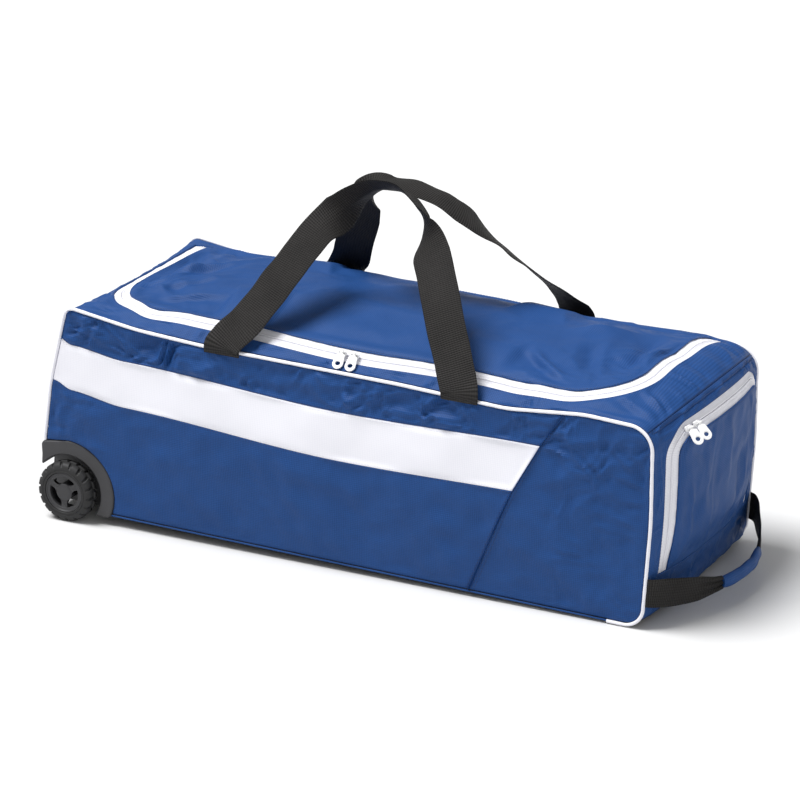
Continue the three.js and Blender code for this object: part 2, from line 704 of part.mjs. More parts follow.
function buildFront() {
  const guard = guardEdge(2 * gap, guardSteps);
  const baseStart = guard[guard.length - 1].x;
  const baseXs = shares(columns - guard.length + 1).map((t) => mix(baseStart, seamFootX - gap / 2, t)).slice(1);
  const floor = baseXs.map((x) => insetPoint(outlineWhere("base", "x", x)));
  const lowerEdge = [...guard, ...floor];
  lowerEdge[lowerEdge.length - 1].x = seamSideX(seamFoot.y, -1);
  const leftLow = insetPoint(stripeEnd("bottom")).x;
  const leftHigh = insetPoint(stripeEnd("top")).x;
  const bottomXs = lowerEdge.map((p, i) => {
    const t = (p.x - lowerEdge[0].x) / (lowerEdge[columns].x - lowerEdge[0].x);
    return i === 0 ? leftLow : mix(leftLow, seamBottom.x - gap / 2, t);
  });
  const topXs = shares(columns).map((t) => mix(leftHigh, seamTop.x - gap / 2, t));
  const half = gap / 2;
  const lowLine = stripeLine("bottom", 0, bottomXs);
  const highLine = stripeLine("top", 0, topXs);
  const shifted = (line, by) => line.map((p) => edgeRow(p.x, p.y + by));

  const lowerUp = shifted(lowLine, -half);
  const leftEdge = (from, to, steps) =>
    shares(steps).map((t) => {
      const z = mix(from.y, to.y, t);
      const onOutline = insetPoint(outlineWhere("left", "y", z));
      return edgeRow(t === 0 ? from.x : t === 1 ? to.x : onOutline.x, z);
    });
  const lower = patch(
    lowerEdge,
    lowerUp,
    leftEdge(lowerEdge[0], lowerUp[0], lowerRows),
    seamRun(seamFoot.y, seamBottom.z - half, lowerRows, -1),
  );
  add("front_lower_panel", "blueCloth", clothGeometry(frontPoint, lower));

  const stripeLow = shifted(lowLine, half);
  const stripeHigh = shifted(highLine, -half);
  const stripe = patch(
    stripeLow,
    stripeHigh,
    leftEdge(stripeLow[0], stripeHigh[0], stripeRowsHigh),
    seamRun(seamBottom.z + half, seamTop.z - half, stripeRowsHigh, -1),
  );
  add("front_stripe", "whiteCloth", clothGeometry(frontPoint, stripe));

  const upperLow = shifted(highLine, half);
  const cornerTop = insetRun(anchors.topLeft, seamHeadDistance, columns);
  cornerTop[columns].x = seamSideX(seamHead.y, -1);
  const upper = patch(
    upperLow,
    cornerTop,
    leftEdge(upperLow[0], cornerTop[0], upperRows),
    seamRun(seamTop.z + half, cornerTop[columns].y, upperRows, -1),
  );
  add("front_upper_panel", "blueCloth", clothGeometry(frontPoint, upper));

  const seamLine = [
    ...seamRun(seamFoot.y, seamBottom.z - half, lowerRows, 1),
    ...seamRun(seamBottom.z + half, seamTop.z - half, stripeRowsHigh, 1),
    ...seamRun(seamTop.z + half, cornerTop[columns].y, upperRows, 1),
  ];
  const cornerColumns = 6;
  const footDistance = outlineWhere("base", "x", seamFootX + half);
  const cornerFoot = insetRun(footDistance, anchors.baseRight, cornerColumns);
  cornerFoot[0].copy(seamLine[0]);
  const cornerHead = insetRun(seamHeadDistance, anchors.topRight, cornerColumns);
  cornerHead[0].copy(seamLine[seamLine.length - 1]);
  const cornerEdge = insetRun(anchors.baseRight, anchors.topRight, seamLine.length - 1);
  const corner = patch(cornerFoot, cornerHead, seamLine, cornerEdge);
  add("front_corner_panel", "blueCloth", clothGeometry(frontPoint, corner));
}

function buildBack() {
  const guard = guardEdge(2 * gap, guardSteps);
  const baseStart = outlineWhere("base", "x", guard[guard.length - 1].x);
  const floorSteps = columns + 1 - guard.length;
  const floor = insetRun(baseStart, anchors.baseRight, floorSteps).slice(1);
  const lowerEdge = [...guard, ...floor];
  const topEdge = insetRun(anchors.topLeft, anchors.topRight, columns);
  const rowsHigh = 7;
  const left = shares(rowsHigh).map((t) => {
    const z = mix(lowerEdge[0].y, topEdge[0].y, t);
    return t === 0 ? lowerEdge[0] : t === 1 ? topEdge[0] : insetPoint(outlineWhere("left", "y", z));
  });
  const right = insetRun(anchors.baseRight, anchors.topRight, rowsHigh);
  add("back_panel", "blueCloth", clothGeometry(backPoint, patch(lowerEdge, topEdge, left, right)));
}

// The corded edge runs from the housing's top corner round to the housing's foot.
function buildPiping() {
  const start = outlineWhere("left", "y", guardLineZ(endAtGuard + pipingRadius) + 3 * gap);
  const end = outlineWhere("base", "x", housingRightX + 2 * gap);
  const stops = [start];
  for (const run of outline.runs) {
    const bends = run.turn === 0 ? 1 : Math.max(2, Math.ceil(Math.abs(run.turn * run.length) / 0.42));
    for (const i of range(bends)) {
      const stop = run.from + (run.length * i) / bends;
      if (stop > start + pipingDiameter && stop < end - pipingDiameter) stops.push(stop);
    }
  }
  stops.push(end);
  for (const [name, side] of [["front_piping", -1], ["back_piping", 1]]) {
    const stations = stops.map((stop) => {
      const { point, out } = outlineAt(stop);
      return {
        centre: new THREE.Vector3(point.x, side * halfWidth, point.y),
        wide: new THREE.Vector3(out.x, 0, out.y).multiplyScalar(pipingRadius),
        thick: new THREE.Vector3(0, pipingRadius, 0),
      };
    });
    add(name, "whiteCloth", sweptGeometry(stations, roundSection(6)));
  }
}

// An opening with a zip on three sides and a seam on the fourth. The pattern is flat: along and
// across are distances on the cloth. The panel, the two tapes and the cloth round them share the
// same stops along the zip, so that they meet all the way with the same narrow gap.
function openingPatterns(spec) {
  const { start, end, frontEdge, seam, radius, straight, sideSteps, bounds, rings } = spec;
  const bend = 5;
  const bends = shares(bend).map((t) => (t * Math.PI) / 2);
  const stops = [
    ...bends.map((angle) => ({ along: start + radius * (1 - Math.cos(angle)), lift: radius * (1 - Math.sin(angle)) })),
    ...shares(straight).slice(1, -1).map((t) => ({ along: mix(start + radius, end - radius, t), lift: 0 })),
    ...bends.map((angle) => ({ along: end - radius * (1 - Math.sin(angle)), lift: radius * (1 - Math.cos(angle)) })),
  ];
  const panel = stops.map(({ along, lift }) => {
    const front = frontEdge(along) + lift;
    return shares(sideSteps).map((t) => new THREE.Vector2(along, mix(front, seam, t)));
  });
  const last = panel.length - 1;
  const zipLine = [
    ...panel[0].slice(1).reverse(),
    ...panel.map((column) => column[0]),
    ...panel[last].slice(1),
  ];
  const outward = zipLine.map((p, i) => {
    if (i < sideSteps) return new THREE.Vector2(-1, 0);
    if (i >= zipLine.length - sideSteps) return new THREE.Vector2(1, 0);
    const heading = zipLine[i + 1].clone().sub(zipLine[i - 1]).normalize();
    return new THREE.Vector2(heading.y, -heading.x);
  });
  const offset = (by) => zipLine.map((p, i) => p.clone().addScaledVector(outward[i], by));
  const tape = (from, to) => {
    const [inner, outer] = [offset(from), offset(to)];
    return zipLine.map((_, i) => [inner[i], outer[i]]);
  };
  const innerTape = tape(gap, gap + zipTapeWidth);
  const outerTape = tape(2 * gap + zipTapeWidth, 2 * gap + 2 * zipTapeWidth);
  const edge = offset(3 * gap + 2 * zipTapeWidth);
  const seamEdge = panel.slice(1, -1).reverse().map((column) => new THREE.Vector2(column[0].x, seam + gap));
  edge[0].y = seam + gap;
  edge[edge.length - 1].y = seam + gap;
  const { left, right, front, back } = bounds;
  const cornerStop = sideSteps + Math.round(bend / 2);
  const rim = edge.map((p, i) => {
    const mirrored = edge.length - 1 - i;
    if (i === 0) return new THREE.Vector2(left, back);
    if (mirrored === 0) return new THREE.Vector2(right, back);
    if (i < cornerStop) return new THREE.Vector2(left, mix(back, front, i / cornerStop));
    if (mirrored < cornerStop) return new THREE.Vector2(right, mix(back, front, mirrored / cornerStop));
    if (i === cornerStop) return new THREE.Vector2(left, front);
    if (mirrored === cornerStop) return new THREE.Vector2(right, front);
    const t = (i - cornerStop) / (edge.length - 1 - 2 * cornerStop);
    return new THREE.Vector2(mix(left, right, t), front);
  });
  const seamRim = seamEdge.map((p) => new THREE.Vector2(p.x, back));
  const inside = [...edge, ...seamEdge];
  const outside = [...rim, ...seamRim];
  const surround = inside.map((p, i) => shares(rings).map((t) => p.clone().lerp(outside[i], t)));
  return { panel, innerTape, outerTape, surround };
}

function lidFrontEdge(along) {
  return topAcross(lookUpEased(lidFrontRows, "at", "y", along / sideLength("top")));
}

const lidZipMiddle = (along) => lidFrontEdge(along) - 1.5 * gap - zipTapeWidth;
const pocketZipMiddle = pocketTopMargin - 1.5 * gap - zipTapeWidth;

function buildTop() {
  const topLength = sideLength("top");
  const patterns = openingPatterns({
    start: lidMarginWheelEnd,
    end: topLength - lidMarginHandleEnd,
    frontEdge: lidFrontEdge,
    seam: topAcross(lidHingeShare),
    radius: lidCornerRadius,
    straight: 12,
    sideSteps: 8,
    rings: 2,
    bounds: {
      left: gap / 2,
      right: topLength - gap / 2,
      front: topAcross(-(halfWidth - seamInset) / halfWidth),
      back: topAcross((halfWidth - seamInset) / halfWidth),
    },
  });
  add("lid", "blueCloth", clothGeometry(topPoint, patterns.panel));
  add("lid_zip_tape_inner", "whiteCloth", clothGeometry(topPoint, patterns.innerTape));
  add("lid_zip_tape_outer", "whiteCloth", clothGeometry(topPoint, patterns.outerTape));
  add("top_rim", "blueCloth", clothGeometry(topPoint, patterns.surround, { wrapped: true }));
}

function buildHandleEnd() {
  const patterns = openingPatterns({
    start: -pocketHalfWidth,
    end: pocketHalfWidth,
    frontEdge: () => pocketTopMargin,
    seam: pocketSeamDrop,
    radius: pocketCornerRadius,
    straight: 5,
    sideSteps: 6,
    rings: 1,
    bounds: {
      left: -halfWidth + seamInset,
      right: halfWidth - seamInset,
      front: gap / 2,
      back: endLength - gap / 2,
    },
  });
  add("end_pocket_panel", "blueCloth", clothGeometry(endPoint, patterns.panel));
  add("pocket_zip_tape_inner", "whiteCloth", clothGeometry(endPoint, patterns.innerTape));
  add("pocket_zip_tape_outer", "whiteCloth", clothGeometry(endPoint, patterns.outerTape));
  add("handle_end_panel", "blueCloth", clothGeometry(endPoint, patterns.surround, { wrapped: true }));
}

// The wheeled end and the base, with the corners cut out for the housings.
function buildBaseAndWheelEnd() {
  const reach = halfWidth - seamInset;
  const notch = halfWidth - housingDepth - gap;
  const across = [-reach, -notch, -notch / 2, 0, notch / 2, notch, reach];
  const pattern = (stops) => stops.map((stop) => across.map((y) => new THREE.Vector2(stop, y)));
  const bootTop = outlineWhere("left", "y", bootHeight) + outline.total;
  const notchZ = guardLineZ(endAtGuard + 2 * clothWall) + 2 * gap;
  const notchTop = outlineWhere("left", "y", notchZ) + outline.total;
  const notchFoot = outlineWhere("base", "x", housingRightX + gap);
  const corner = anchors.baseLeft + outline.total;
  const cornerReach = outlineRows[0].radius * bagHeight;
  const floor = shares(7).map((t) => mix(anchors.baseRight + gap / 2, notchFoot, t));
  const hidden = [mix(notchFoot, corner, 0.5), corner - cornerReach, corner, corner + cornerReach];
  const stops = [...floor, ...hidden, notchTop, bootTop - gap / 2];
  const firstCut = floor.length - 1;
  const lastCut = floor.length + hidden.length - 1;
  const keeps = (i, j) => (j > 0 && j < across.length - 2) || i < firstCut || i > lastCut;
  add("base_panel", "blackCloth", clothGeometry(wrapPoint, pattern(stops), { keeps }));

  const endStops = shares(5).map((t) => mix(bootTop + gap / 2, anchors.topLeft + outline.total - gap / 2, t));
  add("wheel_end_panel", "blueCloth", clothGeometry(wrapPoint, pattern(endStops)));
}

// Carry straps: webbing sewn into the long seams, twisted so that it lies flat over the hand.
function strapKnots(rows, side) {
  const footY = halfWidth + pipingRadius + gap + strapThickness / 2;
  const seamZ = outlineAt(outlineWhere("top", "x", strapShift)).point.y;
  return rows.map((row) => {
    const turn = THREE.MathUtils.degToRad(row.turn);
    const tip = THREE.MathUtils.degToRad(row.tip);
    const wide = new THREE.Vector3(Math.cos(turn) * Math.cos(tip), Math.sin(turn) * Math.cos(tip), Math.sin(tip));
    const y = Math.abs(row.y) === 1 ? side * footY : row.y * halfWidth;
    return {
      point: new THREE.Vector3(strapShift + (row.x * strapSpread) / 2, y, seamZ + row.z * strapRise),
      wide: wide.multiplyScalar(strapWidth / 2),
      thick: strapThickness / 2,
    };
  });
}

function buildStraps() {
  const steps = 34;
  add("front_carry_strap", "webbing", sweptGeometry(stationsAlong(strapKnots(frontStrapRows, -1), steps), flatSection));
  add("rear_carry_strap", "webbing", sweptGeometry(stationsAlong(strapKnots(rearStrapRows, 1), steps), flatSection));
}

// End handle: two webbing tabs sewn into the side seams, and a padded grip between their ends.
function buildEndHandle() {
  const { point: seam, out } = outlineAt(outlineWhere("right", "y", handleHeight));
  const upright = new THREE.Vector3(-out.y, 0, out.x);
  const level = new THREE.Vector3(0, 0, 1);
  const startX = seam.x + pipingRadius + 2 * gap;
  const knotsFor = (side) =>
    handleRows.map((row) => ({
      point: new THREE.Vector3(startX + row.reach * handleReach, side * row.y * halfWidth, row.z * handleHeight),
      wide: upright.clone().lerp(level, row.reach).setLength((row.width * tabWidth) / 2),
      thick: strapThickness / 2,
    }));
  for (const [name, side] of [["end_handle_front_tab", -1], ["end_handle_rear_tab", 1]]) {
    add(name, "webbing", sweptGeometry(stationsAlong(knotsFor(side), 9), flatSection));
  }
  const [before, last] = knotsFor(1).slice(-2).map((knot) => knot.point);
  const slope = (last.x - before.x) / (before.y - last.y);
  const half = last.y - gap - (strapThickness / 2) * slope;
  const gripKnots = [-1, -0.5, 0, 0.5, 1].map((share) => {
    const x = last.x + half * slope * 0.5 * (1 - share ** 2);
    return {
      point: new THREE.Vector3(x, share * half, last.z - gripSag * (1 - share ** 2)),
      wide: level.clone().multiplyScalar(gripHeight / 2),
      thick: gripThickness / 2,
    };
  });
  add("end_handle_grip", "blueCloth", sweptGeometry(stationsAlong(gripKnots, 8), roundSection(8)));
}

// Housing: a thick arch over the wheel with a back plate that carries the axle. It is drawn for the
// front and turned over for the back.
function housingGeometry() {
  const floor = gap;
  const outerFloor = Math.acos((hubZ - floor) / guardRadius);
  const innerFloor = Math.acos((hubZ - floor) / archRadius);
  const leftReach = hubX - guardLeftX;
  const innerLeft = Math.acos(Math.min(1, leftReach / archRadius));
  const shape = new THREE.Shape();
  shape.moveTo(hubX + guardRadius * Math.sin(outerFloor), floor);
  shape.absarc(hubX, hubZ, guardRadius, outerFloor - Math.PI / 2, Math.PI / 2, false);
  shape.lineTo(guardLeftX, guardLeftZ);
  shape.lineTo(guardLeftX, hubZ + archRadius * Math.sin(innerLeft));
  shape.absarc(hubX, hubZ, archRadius, Math.PI - innerLeft, innerFloor - Math.PI / 2, true);
  shape.closePath();
  const face = -halfWidth - plateProud;
  const back = -halfWidth + housingDepth;
  const arch = asManifold(slab(shape, face, back, 12));

  const plate = new THREE.Shape();
  const plateRadius = (archRadius + guardRadius) / 2;
  const plateFloor = Math.acos((hubZ - floor) / plateRadius);
  const plateLeft = Math.acos(Math.min(1, leftReach / plateRadius));
  plate.moveTo(hubX + plateRadius * Math.sin(plateFloor), floor);
  plate.absarc(hubX, hubZ, plateRadius, plateFloor - Math.PI / 2, Math.PI - plateLeft, false);
  plate.lineTo(guardLeftX, floor);
  plate.closePath();
  const wall = asManifold(slab(plate, back - housingBack, back, 10));

  const axleEnd = -halfWidth - hubFaceProud + bossWall;
  const axle = new THREE.CylinderGeometry(axleRadius, axleRadius, back - axleEnd - housingBack / 2, 12);
  axle.translate(hubX, (axleEnd + back - housingBack / 2) / 2, hubZ);
  return asGeometry(arch.add(wall).add(asManifold(axle)));
}

// Tyre: a closed ring turned about the axle, with rounded shoulders. Its face lies at y = 0.
function tyreGeometry() {
  const chamfer = tyreShoulder;
  const ring = [
    [tyreBore, 0],
    [tyreRadius - 1.3 * chamfer, 0],
    [tyreRadius - 0.35 * chamfer, 0.45 * chamfer],
    [tyreRadius, chamfer],
    [tyreRadius, tyreWidth - chamfer],
    [tyreRadius - 0.35 * chamfer, tyreWidth - 0.45 * chamfer],
    [tyreRadius - 1.3 * chamfer, tyreWidth],
    [tyreBore, tyreWidth],
    [tyreBore, 0],
  ];
  const lathe = new THREE.LatheGeometry(ring.map(([r, y]) => new THREE.Vector2(r, y)), 28);
  lathe.deleteAttribute("normal");
  lathe.deleteAttribute("uv");
  return facingOut(mergeVertices(lathe, 1e-4));
}

// Hub: a rim, a web with three vents between its spokes, and a blind boss over the axle.
function hubGeometry() {
  const rimOuter = tyreBore - gap;
  const rimInner = rimOuter - 3;
  const rimShape = new THREE.Shape().absarc(0, 0, rimOuter, 0, 2 * Math.PI, false);
  rimShape.holes.push(new THREE.Path().absarc(0, 0, rimInner, 0, 2 * Math.PI, true));
  const rim = asManifold(slab(rimShape, 1, tyreWidth - 1, 14));
  const webShape = new THREE.Shape().absarc(0, 0, (rimInner + rimOuter) / 2, 0, 2 * Math.PI, false);
  const halfSpoke = Math.asin(spokeWidth / 2 / ((ventInner + ventOuter) / 2));
  for (const i of range(3)) {
    const middle = Math.PI / 2 + (i * 2 * Math.PI) / 3;
    const half = Math.PI / 3 - halfSpoke;
    const vent = new THREE.Path();
    vent.absarc(0, 0, ventOuter, middle - half, middle + half, false);
    vent.absarc(0, 0, ventInner, middle + half, middle - half, true);
    vent.closePath();
    webShape.holes.push(vent);
  }
  const web = asManifold(slab(webShape, 2, 2 + webThickness, 6));
  const boss = asManifold(new THREE.CylinderGeometry(ventInner - 1, ventInner - 1, tyreWidth - 3, 18).translate(0, (tyreWidth - 1) / 2, 0));
  const bore = axleRadius + axleClearance;
  const drill = asManifold(
    new THREE.CylinderGeometry(bore, bore, tyreWidth, 12).translate(0, tyreWidth / 2 + bossWall - axleClearance, 0),
  );
  return asGeometry(rim.add(web).add(boss).subtract(drill));
}

function buildWheels() {
  const housing = housingGeometry();
  const tyre = tyreGeometry();
  const hub = hubGeometry();
  for (const [name, side] of [["front", -1], ["rear", 1]]) {
    const corner = new THREE.Group();
    corner.scale.y = -side;
    bag.add(corner);
    add(name + "_wheel_housing", "greyPlastic", housing, corner);
    const wheel = new THREE.Group();
    wheel.position.set(hubX, -halfWidth - hubFaceProud, hubZ);
    corner.add(wheel);
    add(name + "_tyre", "tyreRubber", tyre, wheel);
    add(name + "_hub", "blackPlastic", hub, wheel);
  }
}

// Zip slider, lying on the tapes with the zip along x: a body, two posts and a bar that may lean.
function sliderGeometry(lean) {
  const half = sliderThickness / 2;
  const rise = Math.tan(lean);
  const body = asManifold(new THREE.BoxGeometry(sliderLength, sliderWidth, sliderThickness));
  const bar = new THREE.CylinderGeometry(pinRadius, pinRadius, (2 * postOffset) / Math.cos(lean), 8);
  bar.rotateZ(Math.PI / 2).rotateY(-lean).translate(0, 0, half + pinHeight);
  const posts = [-1, 1].map((side) => {
    const height = pinHeight + side * postOffset * rise + pinRadius;
    const post = new THREE.BoxGeometry(postWidth, 2 * pinRadius, height + half);
    return asManifold(post.translate(side * postOffset, 0, (half + height) / 2));
  });
  return asGeometry(body.add(asManifold(bar)).add(posts[0]).add(posts[1]));
}

// Pull tab: a plate with a rounded end and an oval hole, and an eye that turns on the slider's bar.
function pullGeometry() {
  const eye = pinRadius + pinClearance + pullEyeWall;
  const neck = pullEyeLength / 2;
  const round = pullWidth / 2;
  const shape = new THREE.Shape();
  shape.moveTo(-neck, 0);
  shape.lineTo(-neck, -1.4 * neck);
  shape.lineTo(-0.8 * round, -2.4 * neck);
  shape.lineTo(-round, round - pullLength);
  shape.absellipse(0, round - pullLength, round, round, Math.PI, 2 * Math.PI, false);
  shape.lineTo(0.8 * round, -2.4 * neck);
  shape.lineTo(neck, -1.4 * neck);
  shape.lineTo(neck, 0);
  shape.closePath();
  const hole = new THREE.Path();
  hole.absellipse(0, round - pullLength, pullHoleWidth / 2, pullHoleHeight / 2, 0, 2 * Math.PI, true);
  shape.holes.push(hole);
  const plate = new THREE.ExtrudeGeometry(shape, { depth: pullThickness, bevelEnabled: false, curveSegments: 5 });
  const barrel = new THREE.CylinderGeometry(eye, eye, 2 * neck, 10).rotateZ(Math.PI / 2);
  const drill = new THREE.CylinderGeometry(pinRadius + pinClearance, pinRadius + pinClearance, 4 * neck, 10);
  const solid = asManifold(plate.translate(0, 0, -pullThickness / 2)).add(asManifold(barrel));
  return asGeometry(solid.subtract(asManifold(drill.rotateZ(Math.PI / 2))));
}

// Sliders and pulls, placed on their zips by distances on the cloth.
function buildPulls() {
  const pull = pullGeometry();
  const step = 1;
  for (const row of pullRows) {
    const surface = row.on === "lid" ? topPoint : endPoint;
    const along = row.on === "lid" ? row.along : row.along - pocketHalfWidth;
    const across = row.on === "lid" ? lidZipMiddle(along) : pocketZipMiddle;
    const point = surface(along, across);
    const zip = surface(along + step, across).sub(surface(along - step, across)).normalize();
    const toSeam = surface(along, across + step).sub(surface(along, across - step)).normalize();
    const normal = row.on === "lid" ? zip.clone().cross(toSeam) : toSeam.clone().cross(zip);
    normal.normalize();
    const holder = new THREE.Group();
    holder.matrix.makeBasis(zip, normal.clone().cross(zip), normal);
    holder.matrix.setPosition(point.addScaledVector(normal, gap + sliderThickness / 2));
    holder.matrix.decompose(holder.position, holder.quaternion, holder.scale);
    const lean = THREE.MathUtils.degToRad(row.lean);
    const pivot = new THREE.Group();
    pivot.name = row.name + "_pull_pivot";
    pivot.position.z = sliderThickness / 2 + pinHeight;
    pivot.rotation.set(THREE.MathUtils.degToRad(row.droop), -lean, 0, "YXZ");
    holder.add(pivot);
    bag.add(holder);
    add(row.name + "_slider", "whitePlastic", sliderGeometry(lean), holder);
    add(row.name + "_pull", "whitePlastic", pull, pivot);
  }
}

buildFront();
buildBack();
buildPiping();
buildTop();
buildHandleEnd();
buildBaseAndWheelEnd();
buildStraps();
buildEndHandle();
buildWheels();
buildPulls();

// Stand the bag on its wheels and on the far end of its base, with the middle of its foot at 0.
const restX = outlineAt(anchors.baseRight - outlineRows.at(-1).radius * bagHeight).point.x;
bag.rotation.y = Math.asin(wheelDrop / (restX - hubX));
const kitBag = new THREE.Group();
kitBag.add(bag);
kitBag.updateMatrixWorld(true);
const box = new THREE.Box3().setFromObject(kitBag, true);
bag.position.set(-(box.min.x + box.max.x) / 2, -(box.min.y + box.max.y) / 2, -box.min.z);

export default kitBag;
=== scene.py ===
# %% [markdown]
# # A wheeled kit bag, dressed around its CAD frame
# The real bag is sewn from ribbed polyester: two long sides joined by a band that runs over the top,
# down the ends and under the base, with white piping in the two long seams. The frame gives every
# piece its place. This script makes each soft piece again as a fine surface, with its folds, seams
# and stitching, and gives every piece a finish worked out from what it is made of.

# %% Load the frame and keep its box
import math

import bmesh
import bpy
import numpy as np
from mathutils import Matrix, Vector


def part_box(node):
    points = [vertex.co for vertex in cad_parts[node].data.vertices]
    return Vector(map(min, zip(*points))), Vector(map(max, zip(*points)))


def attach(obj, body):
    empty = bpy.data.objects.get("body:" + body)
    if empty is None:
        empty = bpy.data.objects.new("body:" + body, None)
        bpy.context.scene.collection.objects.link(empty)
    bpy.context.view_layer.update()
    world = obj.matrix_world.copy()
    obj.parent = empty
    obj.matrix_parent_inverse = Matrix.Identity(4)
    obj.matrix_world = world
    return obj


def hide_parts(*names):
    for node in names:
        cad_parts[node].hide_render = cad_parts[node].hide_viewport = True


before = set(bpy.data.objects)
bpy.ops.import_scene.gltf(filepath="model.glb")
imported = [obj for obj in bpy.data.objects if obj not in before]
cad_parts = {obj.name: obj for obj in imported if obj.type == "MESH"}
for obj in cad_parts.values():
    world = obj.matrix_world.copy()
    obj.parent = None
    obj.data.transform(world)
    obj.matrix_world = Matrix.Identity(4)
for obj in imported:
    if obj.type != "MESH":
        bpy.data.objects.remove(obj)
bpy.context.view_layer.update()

# %% [markdown]
# ## Camera
# The photograph was taken from the front right and a little above, with a long lens, so that edges
# that are parallel on the bag stay nearly parallel in the picture. A camera is set by where it looks,
# from which direction and from how far; the lens then follows from the size the bag has in the frame.

# %% Camera
CAMERA_AZIMUTH = math.radians(27.02)
CAMERA_ELEVATION = math.radians(20.28)
CAMERA_DISTANCE = 6.0
CAMERA_LENS = 194.57
CAMERA_TARGET = np.array([-0.0242, 0.0, 0.1914])


def place_camera():
    """A level camera that looks at the target: its place is the target plus the distance along the view."""
    back = np.array(
        [
            math.sin(CAMERA_AZIMUTH) * math.cos(CAMERA_ELEVATION),
            -math.cos(CAMERA_AZIMUTH) * math.cos(CAMERA_ELEVATION),
            math.sin(CAMERA_ELEVATION),
        ]
    )
    data = bpy.data.cameras.new("camera")
    data.lens = CAMERA_LENS
    data.sensor_width = 36.0
    data.clip_start = 0.1
    data.clip_end = 100.0
    camera = bpy.data.objects.new("camera", data)
    bpy.context.scene.collection.objects.link(camera)
    camera.location = CAMERA_TARGET + back * CAMERA_DISTANCE
    camera.rotation_euler = (math.pi / 2 - CAMERA_ELEVATION, 0.0, CAMERA_AZIMUTH)
    bpy.context.scene.camera = camera


place_camera()

# %% [markdown]
# ## The bag's own sizes
# The surfaces are worked out again from the same named sizes as the CAD solids, in millimetres and
# in the bag's own level frame, and only the last step turns them into metres in the shared frame.

# %% Sizes in millimetres
BAG_LENGTH = 930.0
BAG_WIDTH = 354.0
BAG_HEIGHT = 303.0
GAP = 0.3
CLOTH = 2.0
PIPING_RADIUS = 2.4
PANEL_PUFF = 9.0
TAPE_WIDTH = 12.2
BOOT_HEIGHT = 118.0
HALF_LENGTH = BAG_LENGTH / 2
HALF_WIDTH = BAG_WIDTH / 2
SEAM_INSET = PIPING_RADIUS + GAP + 0.1
STRAP_WIDTH = 55.0
STRAP_SPREAD = 361.0
STRAP_SHIFT = 10.5

# The outline of a long side, walked clockwise from the bottom corner at the wheels: share of half the
# length, share of the height, bend radius as a share of the height.
OUTLINE_ROWS = np.array(
    [
        (-1.0, 0.01, 0.046),
        (-0.979, 0.36, 0.99),
        (-0.957, 0.62, 0.99),
        (-0.901, 1.0, 0.053),
        (-0.66, 0.951, 1.32),
        (-0.43, 0.934, 2.97),
        (0.21, 0.929, 2.97),
        (0.56, 0.912, 0.66),
        (0.8, 0.952, 0.66),
        (1.012, 0.94, 0.112),
        (1.016, 0.5, 1.98),
        (0.998, 0.01, 0.092),
    ]
)
BASE_LEFT, TOP_LEFT, TOP_RIGHT, BASE_RIGHT = 0, 3, 9, 11


# %% Easing and tables
def smooth(t):
    """0 to 1 with a level start and end: three t squared less two t cubed."""
    t = np.clip(t, 0.0, 1.0)
    return t * t * (3.0 - 2.0 * t)


def eased(value, xs, ys):
    """Looks value up in a table whose rows are joined by eased steps."""
    xs = np.asarray(xs, float)
    ys = np.asarray(ys, float)
    i = np.searchsorted(xs[1:-1], value, side="left")
    return ys[i] + (ys[i + 1] - ys[i]) * smooth((value - xs[i]) / (xs[i + 1] - xs[i]))


def unit(vectors):
    """Vectors of length one along the last axis."""
    return vectors / np.maximum(np.linalg.norm(vectors, axis=-1, keepdims=True), 1e-12)


# %% [markdown]
# ## The outline
# A long side of the bag is cut along one closed line: straight runs joined by arcs. Walking it at
# even small steps gives four lists, the place and the outward direction at each distance, and every
# later surface reads them with a plain linear lookup.


# %% Walk the outline
WALK_STEP = 0.25


def rotated(vectors, cos, sin):
    """Plane vectors turned by an angle, given by its cosine and sine."""
    x, y = vectors[:, 0], vectors[:, 1]
    return np.stack([x * cos - y * sin, x * sin + y * cos], axis=-1)


